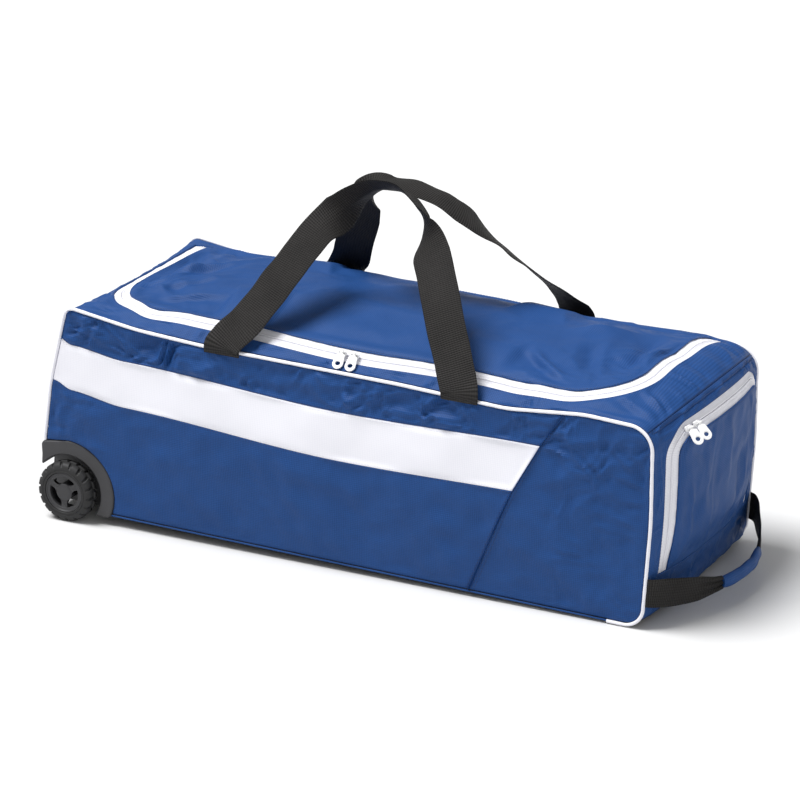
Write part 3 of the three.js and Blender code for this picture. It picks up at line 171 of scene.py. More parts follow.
def walk_outline(rows):
    """Distances, points and outward directions along straight runs joined by arcs.

    An arc of radius r cuts r / tan(angle / 2) off each side of its corner. A point on it is its start
    turned about the centre by the distance walked over the radius.
    """
    corners = rows[:, :2] * (HALF_LENGTH, BAG_HEIGHT)
    before = np.roll(corners, 1, axis=0) - corners
    after = np.roll(corners, -1, axis=0) - corners
    before_size = np.linalg.norm(before, axis=1)
    after_size = np.linalg.norm(after, axis=1)
    angle = np.arccos(np.sum(before * after, axis=1) / (before_size * after_size))
    wanted = rows[:, 2] * BAG_HEIGHT / np.tan(angle / 2)
    cut = np.minimum(wanted, 0.45 * np.minimum(before_size, after_size))
    side = np.sign(after[:, 0] * before[:, 1] - after[:, 1] * before[:, 0])
    before = before / before_size[:, None]
    after = after / after_size[:, None]
    radius = cut * np.tan(angle / 2)
    starts = corners + before * cut[:, None]
    ends = corners + after * cut[:, None]
    centre = starts + (side * radius)[:, None] * np.stack([before[:, 1], -before[:, 0]], axis=1)
    arc = radius * (math.pi - angle)
    straight = np.linalg.norm(np.roll(starts, -1, axis=0) - ends, axis=1)
    bounds = np.concatenate([[0.0], np.cumsum(np.stack([arc, straight], axis=1).ravel())])
    total = bounds[-1]
    s = np.linspace(0.0, total, int(total / WALK_STEP))
    run = np.clip(np.searchsorted(bounds, s, side="right") - 1, 0, len(bounds) - 2)
    corner = run // 2
    bent = run % 2 == 0
    step = s - bounds[run]
    turn = np.where(bent, side[corner] * step / radius[corner], 0.0)
    cos, sin = np.cos(turn), np.sin(turn)
    on_arc = centre[corner] + rotated(starts[corner] - centre[corner], cos, sin)
    on_line = ends[corner] + after[corner] * step[:, None]
    point = np.where(bent[:, None], on_arc, on_line)
    heading = np.where(bent[:, None], rotated(-before[corner], cos, sin), after[corner])
    middles = bounds[:-1:2] + arc / 2
    return s, point[:, 0], point[:, 1], -heading[:, 1], heading[:, 0], middles, total


WALK, WALK_X, WALK_Z, WALK_OUT_X, WALK_OUT_Z, BENDS, TOTAL = walk_outline(OUTLINE_ROWS)
SIDES = {
    "left": (BENDS[BASE_LEFT], BENDS[TOP_LEFT]),
    "top": (BENDS[TOP_LEFT], BENDS[TOP_RIGHT]),
    "right": (BENDS[TOP_RIGHT], BENDS[BASE_RIGHT]),
    "base": (BENDS[BASE_RIGHT], BENDS[BASE_LEFT] + TOTAL),
}
TOP_START, TOP_END = SIDES["top"]
TOP_LENGTH = TOP_END - TOP_START
print("outline length in mm:", round(TOTAL, 1), "top:", round(TOP_LENGTH, 1))


def on_outline(distance):
    """x, z and the outward x and z at a distance along the outline."""
    s = np.mod(distance, TOTAL)
    return tuple(np.interp(s, WALK, column) for column in (WALK_X, WALK_Z, WALK_OUT_X, WALK_OUT_Z))


TOP_X, TOP_Z = on_outline(np.linspace(TOP_START, TOP_END, 2001))[:2]


def outline_where(side, axis, value):
    """The distance on one side at which x (axis 0) or z (axis 1) has a value."""
    s = np.linspace(*SIDES[side], 4001)
    coordinate = on_outline(s)[axis]
    order = slice(None, None, -1) if coordinate[-1] < coordinate[0] else slice(None)
    return np.interp(value, coordinate[order], s[order])


def inset(distance):
    """Points of the outline moved inwards by the seam's inset, as x and z."""
    x, z, out_x, out_z = on_outline(distance)
    return np.stack([x - out_x * SEAM_INSET, z - out_z * SEAM_INSET], axis=-1)


# %% [markdown]
# ## The cloth's two kinds of surface
# The long sides are nearly flat and puff out a little. The band between them follows the outline and
# stands out of it half way across, more over the top, where it domes like a pillow, and hardly at all
# under the base. Both are functions of two distances measured on the cloth, so that a seam or a zip
# can be drawn flat, the way a pattern cutter draws it, and then carried onto the bag.

# %% Crown and dents of the band
# side, share of the side, how far the band stands out as a share of the width, power across
CROWN_ROWS = [
    ("left", 0.02, 0.008, 8),
    ("left", 0.3, 0.023, 2.4),
    ("left", 0.8, 0.014, 2.4),
    ("top", 0.0, -0.023, 2.4),
    ("top", 0.045, 0.034, 2.6),
    ("top", 0.11, 0.113, 2.6),
    ("top", 0.2, 0.161, 2.6),
    ("top", 0.33, 0.178, 2.6),
    ("top", 0.55, 0.17, 2.6),
    ("top", 0.8, 0.158, 2.6),
    ("top", 0.9, 0.124, 2.4),
    ("top", 1.0, 0.088, 2.4),
    ("right", 0.2, 0.076, 2.4),
    ("right", 0.6, 0.065, 2.4),
    ("right", 0.9, 0.04, 2.6),
    ("right", 0.985, 0.02, 6),
    ("base", 0.03, 0.0085, 14),
    ("base", 0.97, 0.0085, 14),
]
# share of the top's length, share of half the width, reach and depth as shares of the width
DENT_ROWS = [
    (0.865, -0.3, 0.12, 0.03),
    (0.93, 0.15, 0.1, 0.02),
    (0.2, -0.35, 0.16, 0.012),
    (0.52, 0.1, 0.3, -0.008),
    (0.1, 0.3, 0.14, 0.014),
]


def crown_table():
    """The crown's rows as distances along the outline, with one row repeated past each end."""
    rows = []
    for side, at, out, flat in CROWN_ROWS:
        start, end = SIDES[side]
        rows.append(((start + at * (end - start)) % TOTAL, out, flat))
    rows = np.array(sorted(rows))
    low = rows[-1] - (TOTAL, 0, 0)
    high = rows[0] + (TOTAL, 0, 0)
    return np.vstack([low, rows, high]).T


CROWN_AT, CROWN_OUT, CROWN_FLAT = crown_table()


def dent(distance, y):
    """How far the top's cloth is pushed in: a sum of round hollows with bell-shaped sides."""
    depth = np.zeros(np.broadcast(distance, y).shape)
    for at, across, reach, deep in DENT_ROWS:
        away = np.hypot(distance - TOP_START - at * TOP_LENGTH, y - across * HALF_WIDTH)
        depth = depth + deep * BAG_WIDTH * np.exp(-((away / (reach * BAG_WIDTH)) ** 2))
    return depth


def band_point(distance, y):
    """The band: the outline moved outwards by crown times (1 - (share of the half width) ** power)."""
    x, z, out_x, out_z = on_outline(distance)
    s = np.mod(distance, TOTAL)
    crown = eased(s, CROWN_AT, CROWN_OUT) * BAG_WIDTH
    flat = eased(s, CROWN_AT, CROWN_FLAT)
    across = np.minimum(1.0, np.abs(y) / HALF_WIDTH)
    height = (crown - dent(distance, y)) * (1.0 - across**flat)
    return np.stack([x + out_x * height, y + 0.0 * x, z + out_z * height], axis=-1)


def side_point(x, z, side):
    """A long side: a plane that puffs out by the square of a parabola up its height."""
    up = np.clip(1.0 - (2.0 * z / np.interp(x, TOP_X, TOP_Z) - 1.0) ** 2, 0.0, 1.0)
    along = np.clip(1.0 - (x / HALF_LENGTH) ** 4, 0.0, 1.0)
    return np.stack([x, side * (HALF_WIDTH + PANEL_PUFF * up**2 * along), z], axis=-1)


# %% Distances on the cloth
POCKET_HALF_WIDTH = 127.0
POCKET_TOP_MARGIN = 43.0
POCKET_SEAM_DROP = 232.0
POCKET_CORNER = 24.0
POCKET_PROUD = 6.0


def walked(points):
    """The length walked along a line of points."""
    return np.concatenate([[0.0], np.cumsum(np.linalg.norm(np.diff(points, axis=0), axis=1))])


ACROSS_Y = np.linspace(0.0, HALF_WIDTH, 61)
ACROSS_CLOTH = walked(band_point(np.full(61, (TOP_START + TOP_END) / 2), ACROSS_Y))
END_S = np.linspace(*SIDES["right"], 121)
END_CLOTH = walked(band_point(END_S, np.zeros(121)))
END_LENGTH = END_CLOTH[-1]


def top_point(along, across):
    """The top, by distances on the cloth from the wheeled end's edge and from the middle line."""
    y = np.sign(across) * np.interp(np.abs(across), ACROSS_CLOTH, ACROSS_Y)
    return band_point(TOP_START + along, y)


def top_across(share):
    """The distance on the cloth from the middle line to a share of half the width."""
    return np.sign(share) * np.interp(np.abs(share) * HALF_WIDTH, ACROSS_Y, ACROSS_CLOTH)


def end_point(across, down):
    """The end with the handle, by the distance across and down; the pocket stands a little proud."""
    base = band_point(np.interp(down, END_CLOTH, END_S), across)
    rise = TAPE_WIDTH * 3
    sides = smooth((POCKET_HALF_WIDTH + 2 * TAPE_WIDTH - np.abs(across)) / rise)
    top = smooth((down - POCKET_TOP_MARGIN + 2 * TAPE_WIDTH) / rise)
    foot = smooth((POCKET_SEAM_DROP - down) / (2 * rise))
    base[..., 0] += POCKET_PROUD * sides * top * foot
    return base


def front_point(x, z):
    """The long side that the photograph shows."""
    return side_point(x, z, -1)


def back_point(x, z):
    """The other long side."""
    return side_point(x, z, 1)


# %% [markdown]
# ## From the bag's frame to the shared one
# The bag stands on its wheels and on the far end of its base, so it is tipped by less than a degree.
# The turn follows from the wheels' drop, and the shift from where the CAD has the front tyre.

# %% Place in the shared frame
TYRE_RADIUS = 43.5
WHEEL_DROP = 12.8
HUB_X = -HALF_LENGTH + 47.5
HUB_Z = TYRE_RADIUS - WHEEL_DROP
REST_X = on_outline(BENDS[BASE_RIGHT] - OUTLINE_ROWS[-1, 2] * BAG_HEIGHT)[0]
TIP = math.asin(WHEEL_DROP / (REST_X - HUB_X))
TURN = np.array([[math.cos(TIP), 0, math.sin(TIP)], [0, 1, 0], [-math.sin(TIP), 0, math.cos(TIP)]])
tyre_box = np.array([list(corner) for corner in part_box("front_tyre")])
SHIFT = tyre_box.mean(axis=0) * 1000.0 - TURN @ (HUB_X, 0.0, HUB_Z)
SHIFT[1] = 0.0
print("tip in degrees:", round(math.degrees(TIP), 4), "shift in mm:", SHIFT.round(3))


def in_frame(points):
    """Millimetres in the bag's frame to metres in the shared frame: turn, shift, scale."""
    return (np.asarray(points) @ TURN.T + SHIFT) / 1000.0


# %% [markdown]
# ## Meshes from grids
# Every soft piece is a grid of points with an outer and an inner face and a wall round its edge, so
# it is a closed body like real cloth with its thickness. The faces are index arithmetic on whole
# arrays. Each piece carries a UV map in metres on the cloth, for the weave to follow.


# %% Grids to closed meshes
def grid_quads(rows, columns, wrapped, keep=None):
    """Corner indices (i, j) of each kept cell, and of the walls round them, on two stacked grids."""
    cells = rows if wrapped else rows - 1
    i, j = np.meshgrid(np.arange(cells), np.arange(columns - 1), indexing="ij")
    has = np.ones(i.shape, bool) if keep is None else keep[:cells, : columns - 1]
    layer = (rows + 1) * columns

    def corner(a, b, deep):
        return a * columns + b + deep * layer

    def neighbour(shift, axis):
        moved = np.roll(has, shift, axis=axis)
        if axis == 1 or not wrapped:
            edge = [slice(None), slice(None)]
            edge[axis] = 0 if shift > 0 else -1
            moved[tuple(edge)] = False
        return moved

    faces = []

    def quads(mask, *corners):
        faces.append(np.stack([corner(i + a, j + b, deep)[mask] for a, b, deep in corners], axis=-1))

    quads(has, (0, 0, 0), (1, 0, 0), (1, 1, 0), (0, 1, 0))
    quads(has, (0, 0, 1), (0, 1, 1), (1, 1, 1), (1, 0, 1))
    quads(has & ~neighbour(1, 1), (0, 0, 0), (0, 0, 1), (1, 0, 1), (1, 0, 0))
    quads(has & ~neighbour(-1, 1), (1, 1, 0), (1, 1, 1), (0, 1, 1), (0, 1, 0))
    quads(has & ~neighbour(1, 0), (0, 1, 0), (0, 1, 1), (0, 0, 1), (0, 0, 0))
    quads(has & ~neighbour(-1, 0), (1, 0, 0), (1, 0, 1), (1, 1, 1), (1, 1, 0))
    return np.concatenate(faces)


def cell_quads(rows, columns, round_rows=False, round_columns=False):
    """Corner indices of a grid's cells; a way that goes round joins its last line to its first."""
    i = np.arange(rows - (not round_rows))
    j = np.arange(columns - (not round_columns))
    i, j = np.meshgrid(i, j, indexing="ij")
    a, b = (i + 1) % rows, (j + 1) % columns
    corners = [i * columns + j, a * columns + j, a * columns + b, i * columns + b]
    return np.stack(corners, axis=-1).reshape(-1, 4)


def outward(points, quads):
    """The quads, turned round if the body they close has a negative volume."""
    a, b, c, d = (points[quads[:, k]] for k in range(4))
    volume = np.sum(a * np.cross(b, c)) + np.sum(a * np.cross(c, d))
    return quads if volume > 0 else quads[:, ::-1]


CLOTH_SHARP = 50
MOULDED_SHARP = 40


def new_mesh(name, points, faces, sharp, uv=None, uv_quads=None):
    """A smooth mesh from points in the shared frame, with doubled points merged.

    Edges that bend by more than sharp, in degrees, stay sharp.
    """
    mesh = bpy.data.meshes.new(name)
    mesh.from_pydata(points.tolist(), [], faces)
    if uv is not None:
        layer = mesh.uv_layers.new(name="cloth")
        layer.data.foreach_set("uv", uv[uv_quads.ravel()].astype(np.float32).ravel())
    work = bmesh.new()
    work.from_mesh(mesh)
    bmesh.ops.remove_doubles(work, verts=work.verts, dist=2e-6)
    bmesh.ops.dissolve_degenerate(work, edges=work.edges, dist=1e-7)
    if uv is None:
        bmesh.ops.recalc_face_normals(work, faces=work.faces)
    loose = [vert for vert in work.verts if not vert.link_faces]
    bmesh.ops.delete(work, geom=loose, context="VERTS")
    work.to_mesh(mesh)
    work.free()
    mesh.shade_smooth()
    mesh.set_sharp_from_angle(angle=math.radians(sharp))
    return mesh


def shell_mesh(name, outer, inner, pattern, wrapped=False, keep=None):
    """Two grids joined into a closed sheet. The pattern gives the UV map, in millimetres."""
    rows, columns = outer.shape[:2]
    loose = grid_quads(rows, columns, wrapped, keep)
    repeat = np.concatenate([outer, outer[:1], inner, inner[:1]]).reshape(-1, 3)
    joined = loose.copy()
    if wrapped:
        layer = (rows + 1) * columns
        last = rows * columns
        row_end = (joined % layer) >= last
        joined[row_end] -= last
    points = in_frame(repeat)
    print(name, "flat size in mm:", np.ptp(pattern.reshape(-1, 2), axis=0).round())
    flat = np.concatenate([pattern, pattern[:1], pattern, pattern[:1]]).reshape(-1, 2) / 1000.0
    turned = outward(points, joined)
    uv_quads = loose if turned is joined else loose[:, ::-1]
    return new_mesh(name, points, turned.tolist(), CLOTH_SHARP, flat, uv_quads)


def grid_normals(points, wrapped):
    """Unit normals of a grid from its differences both ways, pointing away from the bag's middle."""
    padded = np.concatenate([points[-1:], points, points[:1]]) if wrapped else points
    along = np.gradient(padded, axis=0)
    along = along[1:-1] if wrapped else along
    across = np.gradient(points, axis=1)
    normal = unit(np.cross(along, across))
    away = np.sum(normal * (points - (0.0, 0.0, BAG_HEIGHT / 2)))
    return normal if away > 0 else -normal


# %% [markdown]
# ## Materials
# Each finish starts from what the thing is: polyester cloth with a woven rib and a little sheen,
# nylon webbing, moulded plastics and hard rubber. Colours are read off as ordinary screen values, so
# one function turns them to the linear ones that the shader works with.


# %% Material helpers
def linear(code):
    """An sRGB hex colour as linear RGBA: each channel is divided by 255 and its gamma undone."""
    channels = np.array([int(code[k : k + 2], 16) for k in (1, 3, 5)]) / 255.0
    low = channels / 12.92
    high = ((channels + 0.055) / 1.055) ** 2.4
    return (*np.where(channels <= 0.04045, low, high).tolist(), 1.0)


def wave_scale(pitch_mm):
    """The Wave texture's scale for a pitch: it repeats every 2 pi / (20 scale) units, here metres."""
    return 2.0 * math.pi / (20.0 * pitch_mm / 1000.0)


def add_node(material, kind, settings=None, values=None, links=None):
    """One node: settings are its own properties, values and links go to its inputs."""
    node = material.node_tree.nodes.new(kind)
    for name, value in (settings or {}).items():
        setattr(node, name, value)
    for name, value in (values or {}).items():
        node.inputs[name].default_value = value
    for name, source in (links or {}).items():
        material.node_tree.links.new(source, node.inputs[name])
    return node


def new_material(name):
    """An empty node material with its output, and a Principled shader joined to it."""
    material = bpy.data.materials.new(name)
    material.use_nodes = True
    material.node_tree.nodes.clear()
    shader = add_node(material, "ShaderNodeBsdfPrincipled")
    add_node(material, "ShaderNodeOutputMaterial", links={"Surface": shader.outputs["BSDF"]})
    return material, shader


# %% Woven cloth and webbing
def woven(name, dark, light, weft_mm, warp_mm, warp_share, depth_mm, crinkle, roughness, sheen, specular):
    """A woven finish: yarns that run across and along the cloth, a fuzz of fibres, and uneven dye.

    The height is the weft's wave plus a share of the warp's plus the fuzz. The real yarns lie too close
    for a picture of the whole bag to show, so they are drawn a few times coarser. The colour goes from
    dark to light with that height and with a cloud: the lighter crests are a painted highlight, the
    darker hollows between the yarns are painted shade, and the cloud is uneven dye.
    """
    material, shader = new_material(name)
    uv = add_node(material, "ShaderNodeUVMap", {"uv_map": "cloth"})
    place = add_node(material, "ShaderNodeTexCoord")
    yarns = []
    for direction, pitch in (("X", weft_mm), ("Y", warp_mm)):
        settings = {"bands_direction": direction}
        values = {"Scale": wave_scale(pitch), "Distortion": 0.8, "Detail": 1.0, "Detail Scale": 20.0}
        yarns.append(add_node(material, "ShaderNodeTexWave", settings, values, {"Vector": uv.outputs["UV"]}))
    values = {"Scale": 700.0, "Detail": 2.0, "Roughness": 0.7}
    fuzz = add_node(material, "ShaderNodeTexNoise", None, values, {"Vector": uv.outputs["UV"]})
    values = {"Scale": 16.0, "Detail": 6.0, "Roughness": 0.62}
    cloud = add_node(material, "ShaderNodeTexNoise", None, values, {"Vector": place.outputs["Object"]})
    add = {"operation": "MULTIPLY_ADD"}
    links = {0: yarns[1].outputs["Fac"], 2: yarns[0].outputs["Fac"]}
    weave = add_node(material, "ShaderNodeMath", add, {1: warp_share}, links)
    links = {0: fuzz.outputs["Fac"], 2: weave.outputs["Value"]}
    relief = add_node(material, "ShaderNodeMath", add, {1: 0.5}, links)
    # the colour follows the relief as well as the cloud: crests are painted lighter as a highlight and
    # hollows darker as shade
    links = {0: cloud.outputs["Fac"], 2: relief.outputs["Value"]}
    dye_and_painted_crest_light = add_node(material, "ShaderNodeMath", add, {1: 1.2}, links)
    spread = {"From Min": 0.6, "From Max": 2.1 + warp_share}
    ramp = add_node(material, "ShaderNodeMapRange", None, spread, {"Value": dye_and_painted_crest_light.outputs["Value"]})
    values = {6: linear(dark), 7: linear(light)}
    links = {"Factor": ramp.outputs["Result"]}
    colour = add_node(material, "ShaderNodeMix", {"data_type": "RGBA"}, values, links)
    values = {"Strength": crinkle, "Distance": 0.0012}
    soft = add_node(material, "ShaderNodeBump", None, values, {"Height": cloud.outputs["Fac"]})
    values = {"Strength": 0.8, "Distance": depth_mm / 1000.0}
    links = {"Height": relief.outputs["Value"], "Normal": soft.outputs["Normal"]}
    grain = add_node(material, "ShaderNodeBump", None, values, links)
    material.node_tree.links.new(colour.outputs[2], shader.inputs["Base Color"])
    material.node_tree.links.new(grain.outputs["Normal"], shader.inputs["Normal"])
    shader.inputs["Roughness"].default_value = roughness
    shader.inputs["Sheen Weight"].default_value = sheen
    shader.inputs["Sheen Roughness"].default_value = 0.45
    shader.inputs["Sheen Tint"].default_value = linear(light)
    shader.inputs["Specular IOR Level"].default_value = specular
    return material


# ribbed polyester: a deep blue, nearly without shine, with fine crossing ribs
blue_cloth = woven("blue_ribbed_polyester", "#193B6D", "#274F8C", 2.6, 2.6, 0.8, 0.22, 0.4, 0.5, 0.0, 0.15)
# coated polyester: bright, smooth and slightly blue
white_cloth = woven("white_coated_polyester", "#E4E4EC", "#EFEFF5", 2.6, 2.6, 0.6, 0.04, 0.2, 0.5, 0.02, 0.3)
# a coarser coated polyester: dull black, with a rib that shows
black_cloth = woven("black_coated_polyester", "#111113", "#1E1E21", 3.0, 3.0, 0.8, 0.4, 0.3, 0.6, 0.05, 0.3)
# ribbed webbing: black, with a painted grey highlight on the crests of its thick cross ribs
webbing = woven("black_ribbed_webbing", "#000000", "#343231", 3.0, 3.8, 0.4, 1.0, 0.1, 0.6, 0.0, 0.2)
# tape of polyester yarn: a dull white with a very fine weave
zip_tape = woven("white_zip_tape", "#D8D8E0", "#EEEEF3", 2.2, 2.2, 0.4, 0.12, 0.1, 0.6, 0.02, 0.3)


# %% Plastics and rubber
def moulded(name, base, light, roughness, grain_mm, depth_mm, specular=0.5):
    """A moulded surface with the fine spark-eroded grain of its mould, duller in the hollows."""
    material, shader = new_material(name)
    place = add_node(material, "ShaderNodeTexCoord")
    on_object = {"Vector": place.outputs["Object"]}
    values = {"Scale": 1000.0 / grain_mm, "Detail": 3.0, "Roughness": 0.6}
    grain = add_node(material, "ShaderNodeTexNoise", None, values, on_object)
    wear = add_node(material, "ShaderNodeTexNoise", None, {"Scale": 60.0, "Detail": 4.0}, on_object)
    values = {6: linear(base), 7: linear(light)}
    links = {"Factor": wear.outputs["Fac"]}
    colour = add_node(material, "ShaderNodeMix", {"data_type": "RGBA"}, values, links)
    values = {"To Min": roughness - 0.06, "To Max": roughness + 0.08}
    gloss = add_node(material, "ShaderNodeMapRange", None, values, {"Value": wear.outputs["Fac"]})
    values = {"Strength": 0.5, "Distance": depth_mm / 1000.0}
    bump = add_node(material, "ShaderNodeBump", None, values, {"Height": grain.outputs["Fac"]})
    links = material.node_tree.links
    links.new(colour.outputs[2], shader.inputs["Base Color"])
    links.new(gloss.outputs["Result"], shader.inputs["Roughness"])
    links.new(bump.outputs["Normal"], shader.inputs["Normal"])
    shader.inputs["Specular IOR Level"].default_value = specular
    return material


# moulded plastics: dull dark grey guards, black hubs and smooth white tabs
grey_plastic = moulded("dark_grey_polypropylene", "#323234", "#3D3D40", 0.55, 1.2, 0.08)
black_plastic = moulded("black_nylon", "#2A2A2C", "#353538", 0.5, 1.5, 0.06)
white_plastic = moulded("white_acetal", "#E9E9E9", "#F4F4F4", 0.35, 2.0, 0.03)
# hard rubber: near black, duller than the plastics
tyre_rubber = moulded("hard_tyre_rubber", "#1B1B1C", "#2A2A2B", 0.62, 0.9, 0.15, 0.4)
# sewing thread, darker than its cloth, so that a row reads as a fine line; the navy thread is made darker
# still, as painted shade for the dark crevice along each seam
navy_thread_and_seam_shade = moulded("navy_thread_with_painted_seam_shade", "#0E2046", "#1A3262", 0.6, 0.6, 0.1)
white_thread = moulded("white_polyester_thread", "#CFCFD8", "#E6E6EC", 0.6, 0.6, 0.1)


# %% Pieces
def add_piece(mesh, material, body, slot, *stands_for):
    """An object for a mesh, at the origin, riding on a body and standing for its CAD nodes."""
    piece = bpy.data.objects.new(mesh.name, mesh)
    bpy.context.scene.collection.objects.link(piece)
    mesh.materials.append(material)
    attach(piece, body)
    if stands_for:
        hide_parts(*stands_for)
    return piece


# %% [markdown]
# ## Patterns
# A sewn panel is bounded by four lines, and a patch blends them: each inner point is the mix of the
# two lines it lies between, both ways, less the part that was counted twice. Stops crowd together
# near the edges, because there the cloth rolls under into its seam.


# %% Lines and patches
EDGE_STOPS = np.array([0.0, 0.35, 0.9, 1.8, 3.2, 5.2, 8.0])


def stops_for(length, step, edge_stops=EDGE_STOPS):
    """Shares from 0 to 1: fine stops at both ends, even ones of about one step between."""
    inner = length - 2 * edge_stops[-1]
    middle = np.linspace(edge_stops[-1], length - edge_stops[-1], max(2, int(round(inner / step)) + 1))
    return np.concatenate([edge_stops[:-1], middle, (length - edge_stops[:-1])[::-1]]) / length


def resample(line, shares):
    """Points at shares of a line's length."""
    line = np.asarray(line, float)
    length = walked(line)
    places = shares * length[-1]
    return np.stack([np.interp(places, length, column) for column in line.T], axis=-1)


def patch(lower, upper, left, right, step):
    """A grid between four lines. Lower and upper run from left to right, left and right upwards."""
    u = stops_for(max(walked(lower)[-1], walked(upper)[-1]), step)
    v = stops_for(max(walked(left)[-1], walked(right)[-1]), step)
    low, high = resample(lower, u), resample(upper, u)
    near, far = resample(left, v), resample(right, v)
    u, v = u[:, None, None], v[None, :, None]
    between = (1 - v) * low[:, None] + v * high[:, None] + (1 - u) * near[None] + u * far[None]
    corners = (1 - u) * (1 - v) * low[0] + u * (1 - v) * low[-1] + (1 - u) * v * high[0] + u * v * high[-1]
    return between - corners


def edge_distances(pattern):
    """Distances on the pattern from each point to its grid's four edges: first, last, lower, upper."""
    result = []
    for axis in (0, 1):
        steps = np.linalg.norm(np.diff(pattern, axis=axis), axis=-1)
        start = np.zeros_like(np.take(steps, [0], axis=axis))
        length = np.concatenate([start, np.cumsum(steps, axis=axis)], axis=axis)
        result += [length, np.take(length, [-1], axis=axis) - length]
    return result


# %% [markdown]
# ## Folds
# Cloth that is sewn to a stiffer edge gathers a little along it, sags in long soft swells between its
# seams, and keeps creases where it was folded or pulled. Each is a height added along the normal:
# swells are a few plane waves of random direction, puckers are waves along a seam that die away from
# it, a crease is a ridge with a hollow beside it, and crushed cloth is a net of small sharp ridges.


# %% Height fields
def swells(u, v, wavelength, seed, count=14):
    """A smooth random height of about one: plane waves in random directions, added up."""
    chance = np.random.default_rng(seed)
    angle = chance.uniform(0, 2 * math.pi, count)
    size = 2 * math.pi / (wavelength * chance.uniform(0.7, 1.5, count))
    phase = chance.uniform(0, 2 * math.pi, count)
    total = np.zeros(np.broadcast(u, v).shape)
    for k in range(count):
        total += np.sin(u * size[k] * math.cos(angle[k]) + v * size[k] * math.sin(angle[k]) + phase[k])
    return total / math.sqrt(count / 2)


def puckers(along, away, wavelength, reach, seed):
    """Gathers along a seam: waves in the distance along it, strongest at it and gone past its reach."""
    waves = swells(along, 0.25 * away, wavelength, seed)
    strength = np.clip(0.5 + 0.5 * swells(along, 0.0 * away, wavelength * 7, seed + 1), 0.0, 1.3)
    return waves * strength * np.exp(-away / reach) * smooth(away / 3.0)


def creases(u, v, rows):
    """A sum of creases. Each has a middle, a direction in degrees, half its length, its width, height
    and bend: a bell-shaped ridge that fades along its length, with a shallower hollow beside it."""
    total = np.zeros(np.broadcast(u, v).shape)
    for at_u, at_v, direction, length, width, height, bend in rows:
        cos, sin = math.cos(math.radians(direction)), math.sin(math.radians(direction))
        along = (u - at_u) * cos + (v - at_v) * sin
        across = (v - at_v) * cos - (u - at_u) * sin - bend * (along / length) ** 2
        spread = width * (0.7 + 0.5 * (along / length) ** 2)
        ridge = np.exp(-np.abs(across / spread) ** 1.6)
        hollow = np.exp(-(((across + 1.7 * spread) / (1.3 * spread)) ** 2))
        total += height * (ridge - 0.55 * hollow) * np.exp(-((along / length) ** 2) * 1.5)
    return total


def crumpled(u, v, wavelength, seed):
    """Crushed cloth: at three sizes, the sharp ridges that stand where a smooth wave passes zero."""
    u = u + 0.2 * wavelength * swells(u, v, 1.7 * wavelength, seed + 5, 6)
    v = v + 0.2 * wavelength * swells(u, v, 1.7 * wavelength, seed + 6, 6)
    total = np.zeros(np.broadcast(u, v).shape)
    for octave in range(3):
        wave = swells(u, v, wavelength / 1.8**octave, seed + octave, 7)
        total += (0.7 - np.sqrt(wave**2 + 0.006)) / 1.9**octave
    return total


def patchy(u, v, wavelength, seed):
    """A share from nothing to one that says where a panel is crushed and where it is smooth."""
    return smooth(0.5 + 0.45 * swells(u, v, wavelength, seed, 8))


def rolled(away, width=4.0, depth=1.4):
    """How far cloth turns down into its seam: a quarter round over the last few millimetres."""
    share = np.clip(1.0 - away / width, 0.0, 1.0)
    return depth * (1.0 - np.sqrt(1.0 - share**2))


def cloth_grid(surface, pattern, height, wrapped=False, thickness=CLOTH):
    """Outer and inner grids of a panel: the surface raised by a height, and the same less the wall."""
    base = surface(pattern[..., 0], pattern[..., 1])
    normal = grid_normals(base, wrapped)
    outer = base + normal * height[..., None]
    under = base - normal * (thickness - np.minimum(height, 0.0))[..., None]
    return outer, under, normal


# %% [markdown]
# ## Let the cloth settle
# Waves drawn by formula look drawn. So each panel is also given to Blender's cloth solver: its edges are
# pinned where the seams hold them, it gets a little more cloth than the space has, most of it near one
# edge, and a light push from inside. What the solver finds is kept as one number at each point, how far
# the cloth moved along its normal, and a cubic through four neighbours carries it to the fine grid.


# %% Cloth solver
def cubic_weights(fine, coarse):
    """A matrix that carries values at coarse places to fine ones, by Catmull-Rom weights."""
    place = np.interp(fine, coarse, np.arange(len(coarse)))
    k = np.clip(place.astype(int), 0, len(coarse) - 2)
    t = place - k
    weights = (
        -t / 2 + t**2 - t**3 / 2,
        1 - 2.5 * t**2 + 1.5 * t**3,
        t / 2 + 2 * t**2 - 1.5 * t**3,
        (t**3 - t**2) / 2,
    )
    matrix = np.zeros((len(fine), len(coarse)))
    for shift, weight in enumerate(weights):
        np.add.at(matrix, (np.arange(len(fine)), np.clip(k + shift - 1, 0, len(coarse) - 1)), weight)
    return matrix


def spaced(places, step):
    """Indexes of places that lie about one step apart, with both ends."""
    count = max(6, int(places[-1] / step) + 1)
    found = np.searchsorted(places, np.linspace(0, places[-1], count) - 1e-6)
    return np.unique(found.clip(0, len(places) - 1))


SOLVER_STEP = 7.0
SOLVER_FRAMES = 26
MOST_MOVED = 9.0


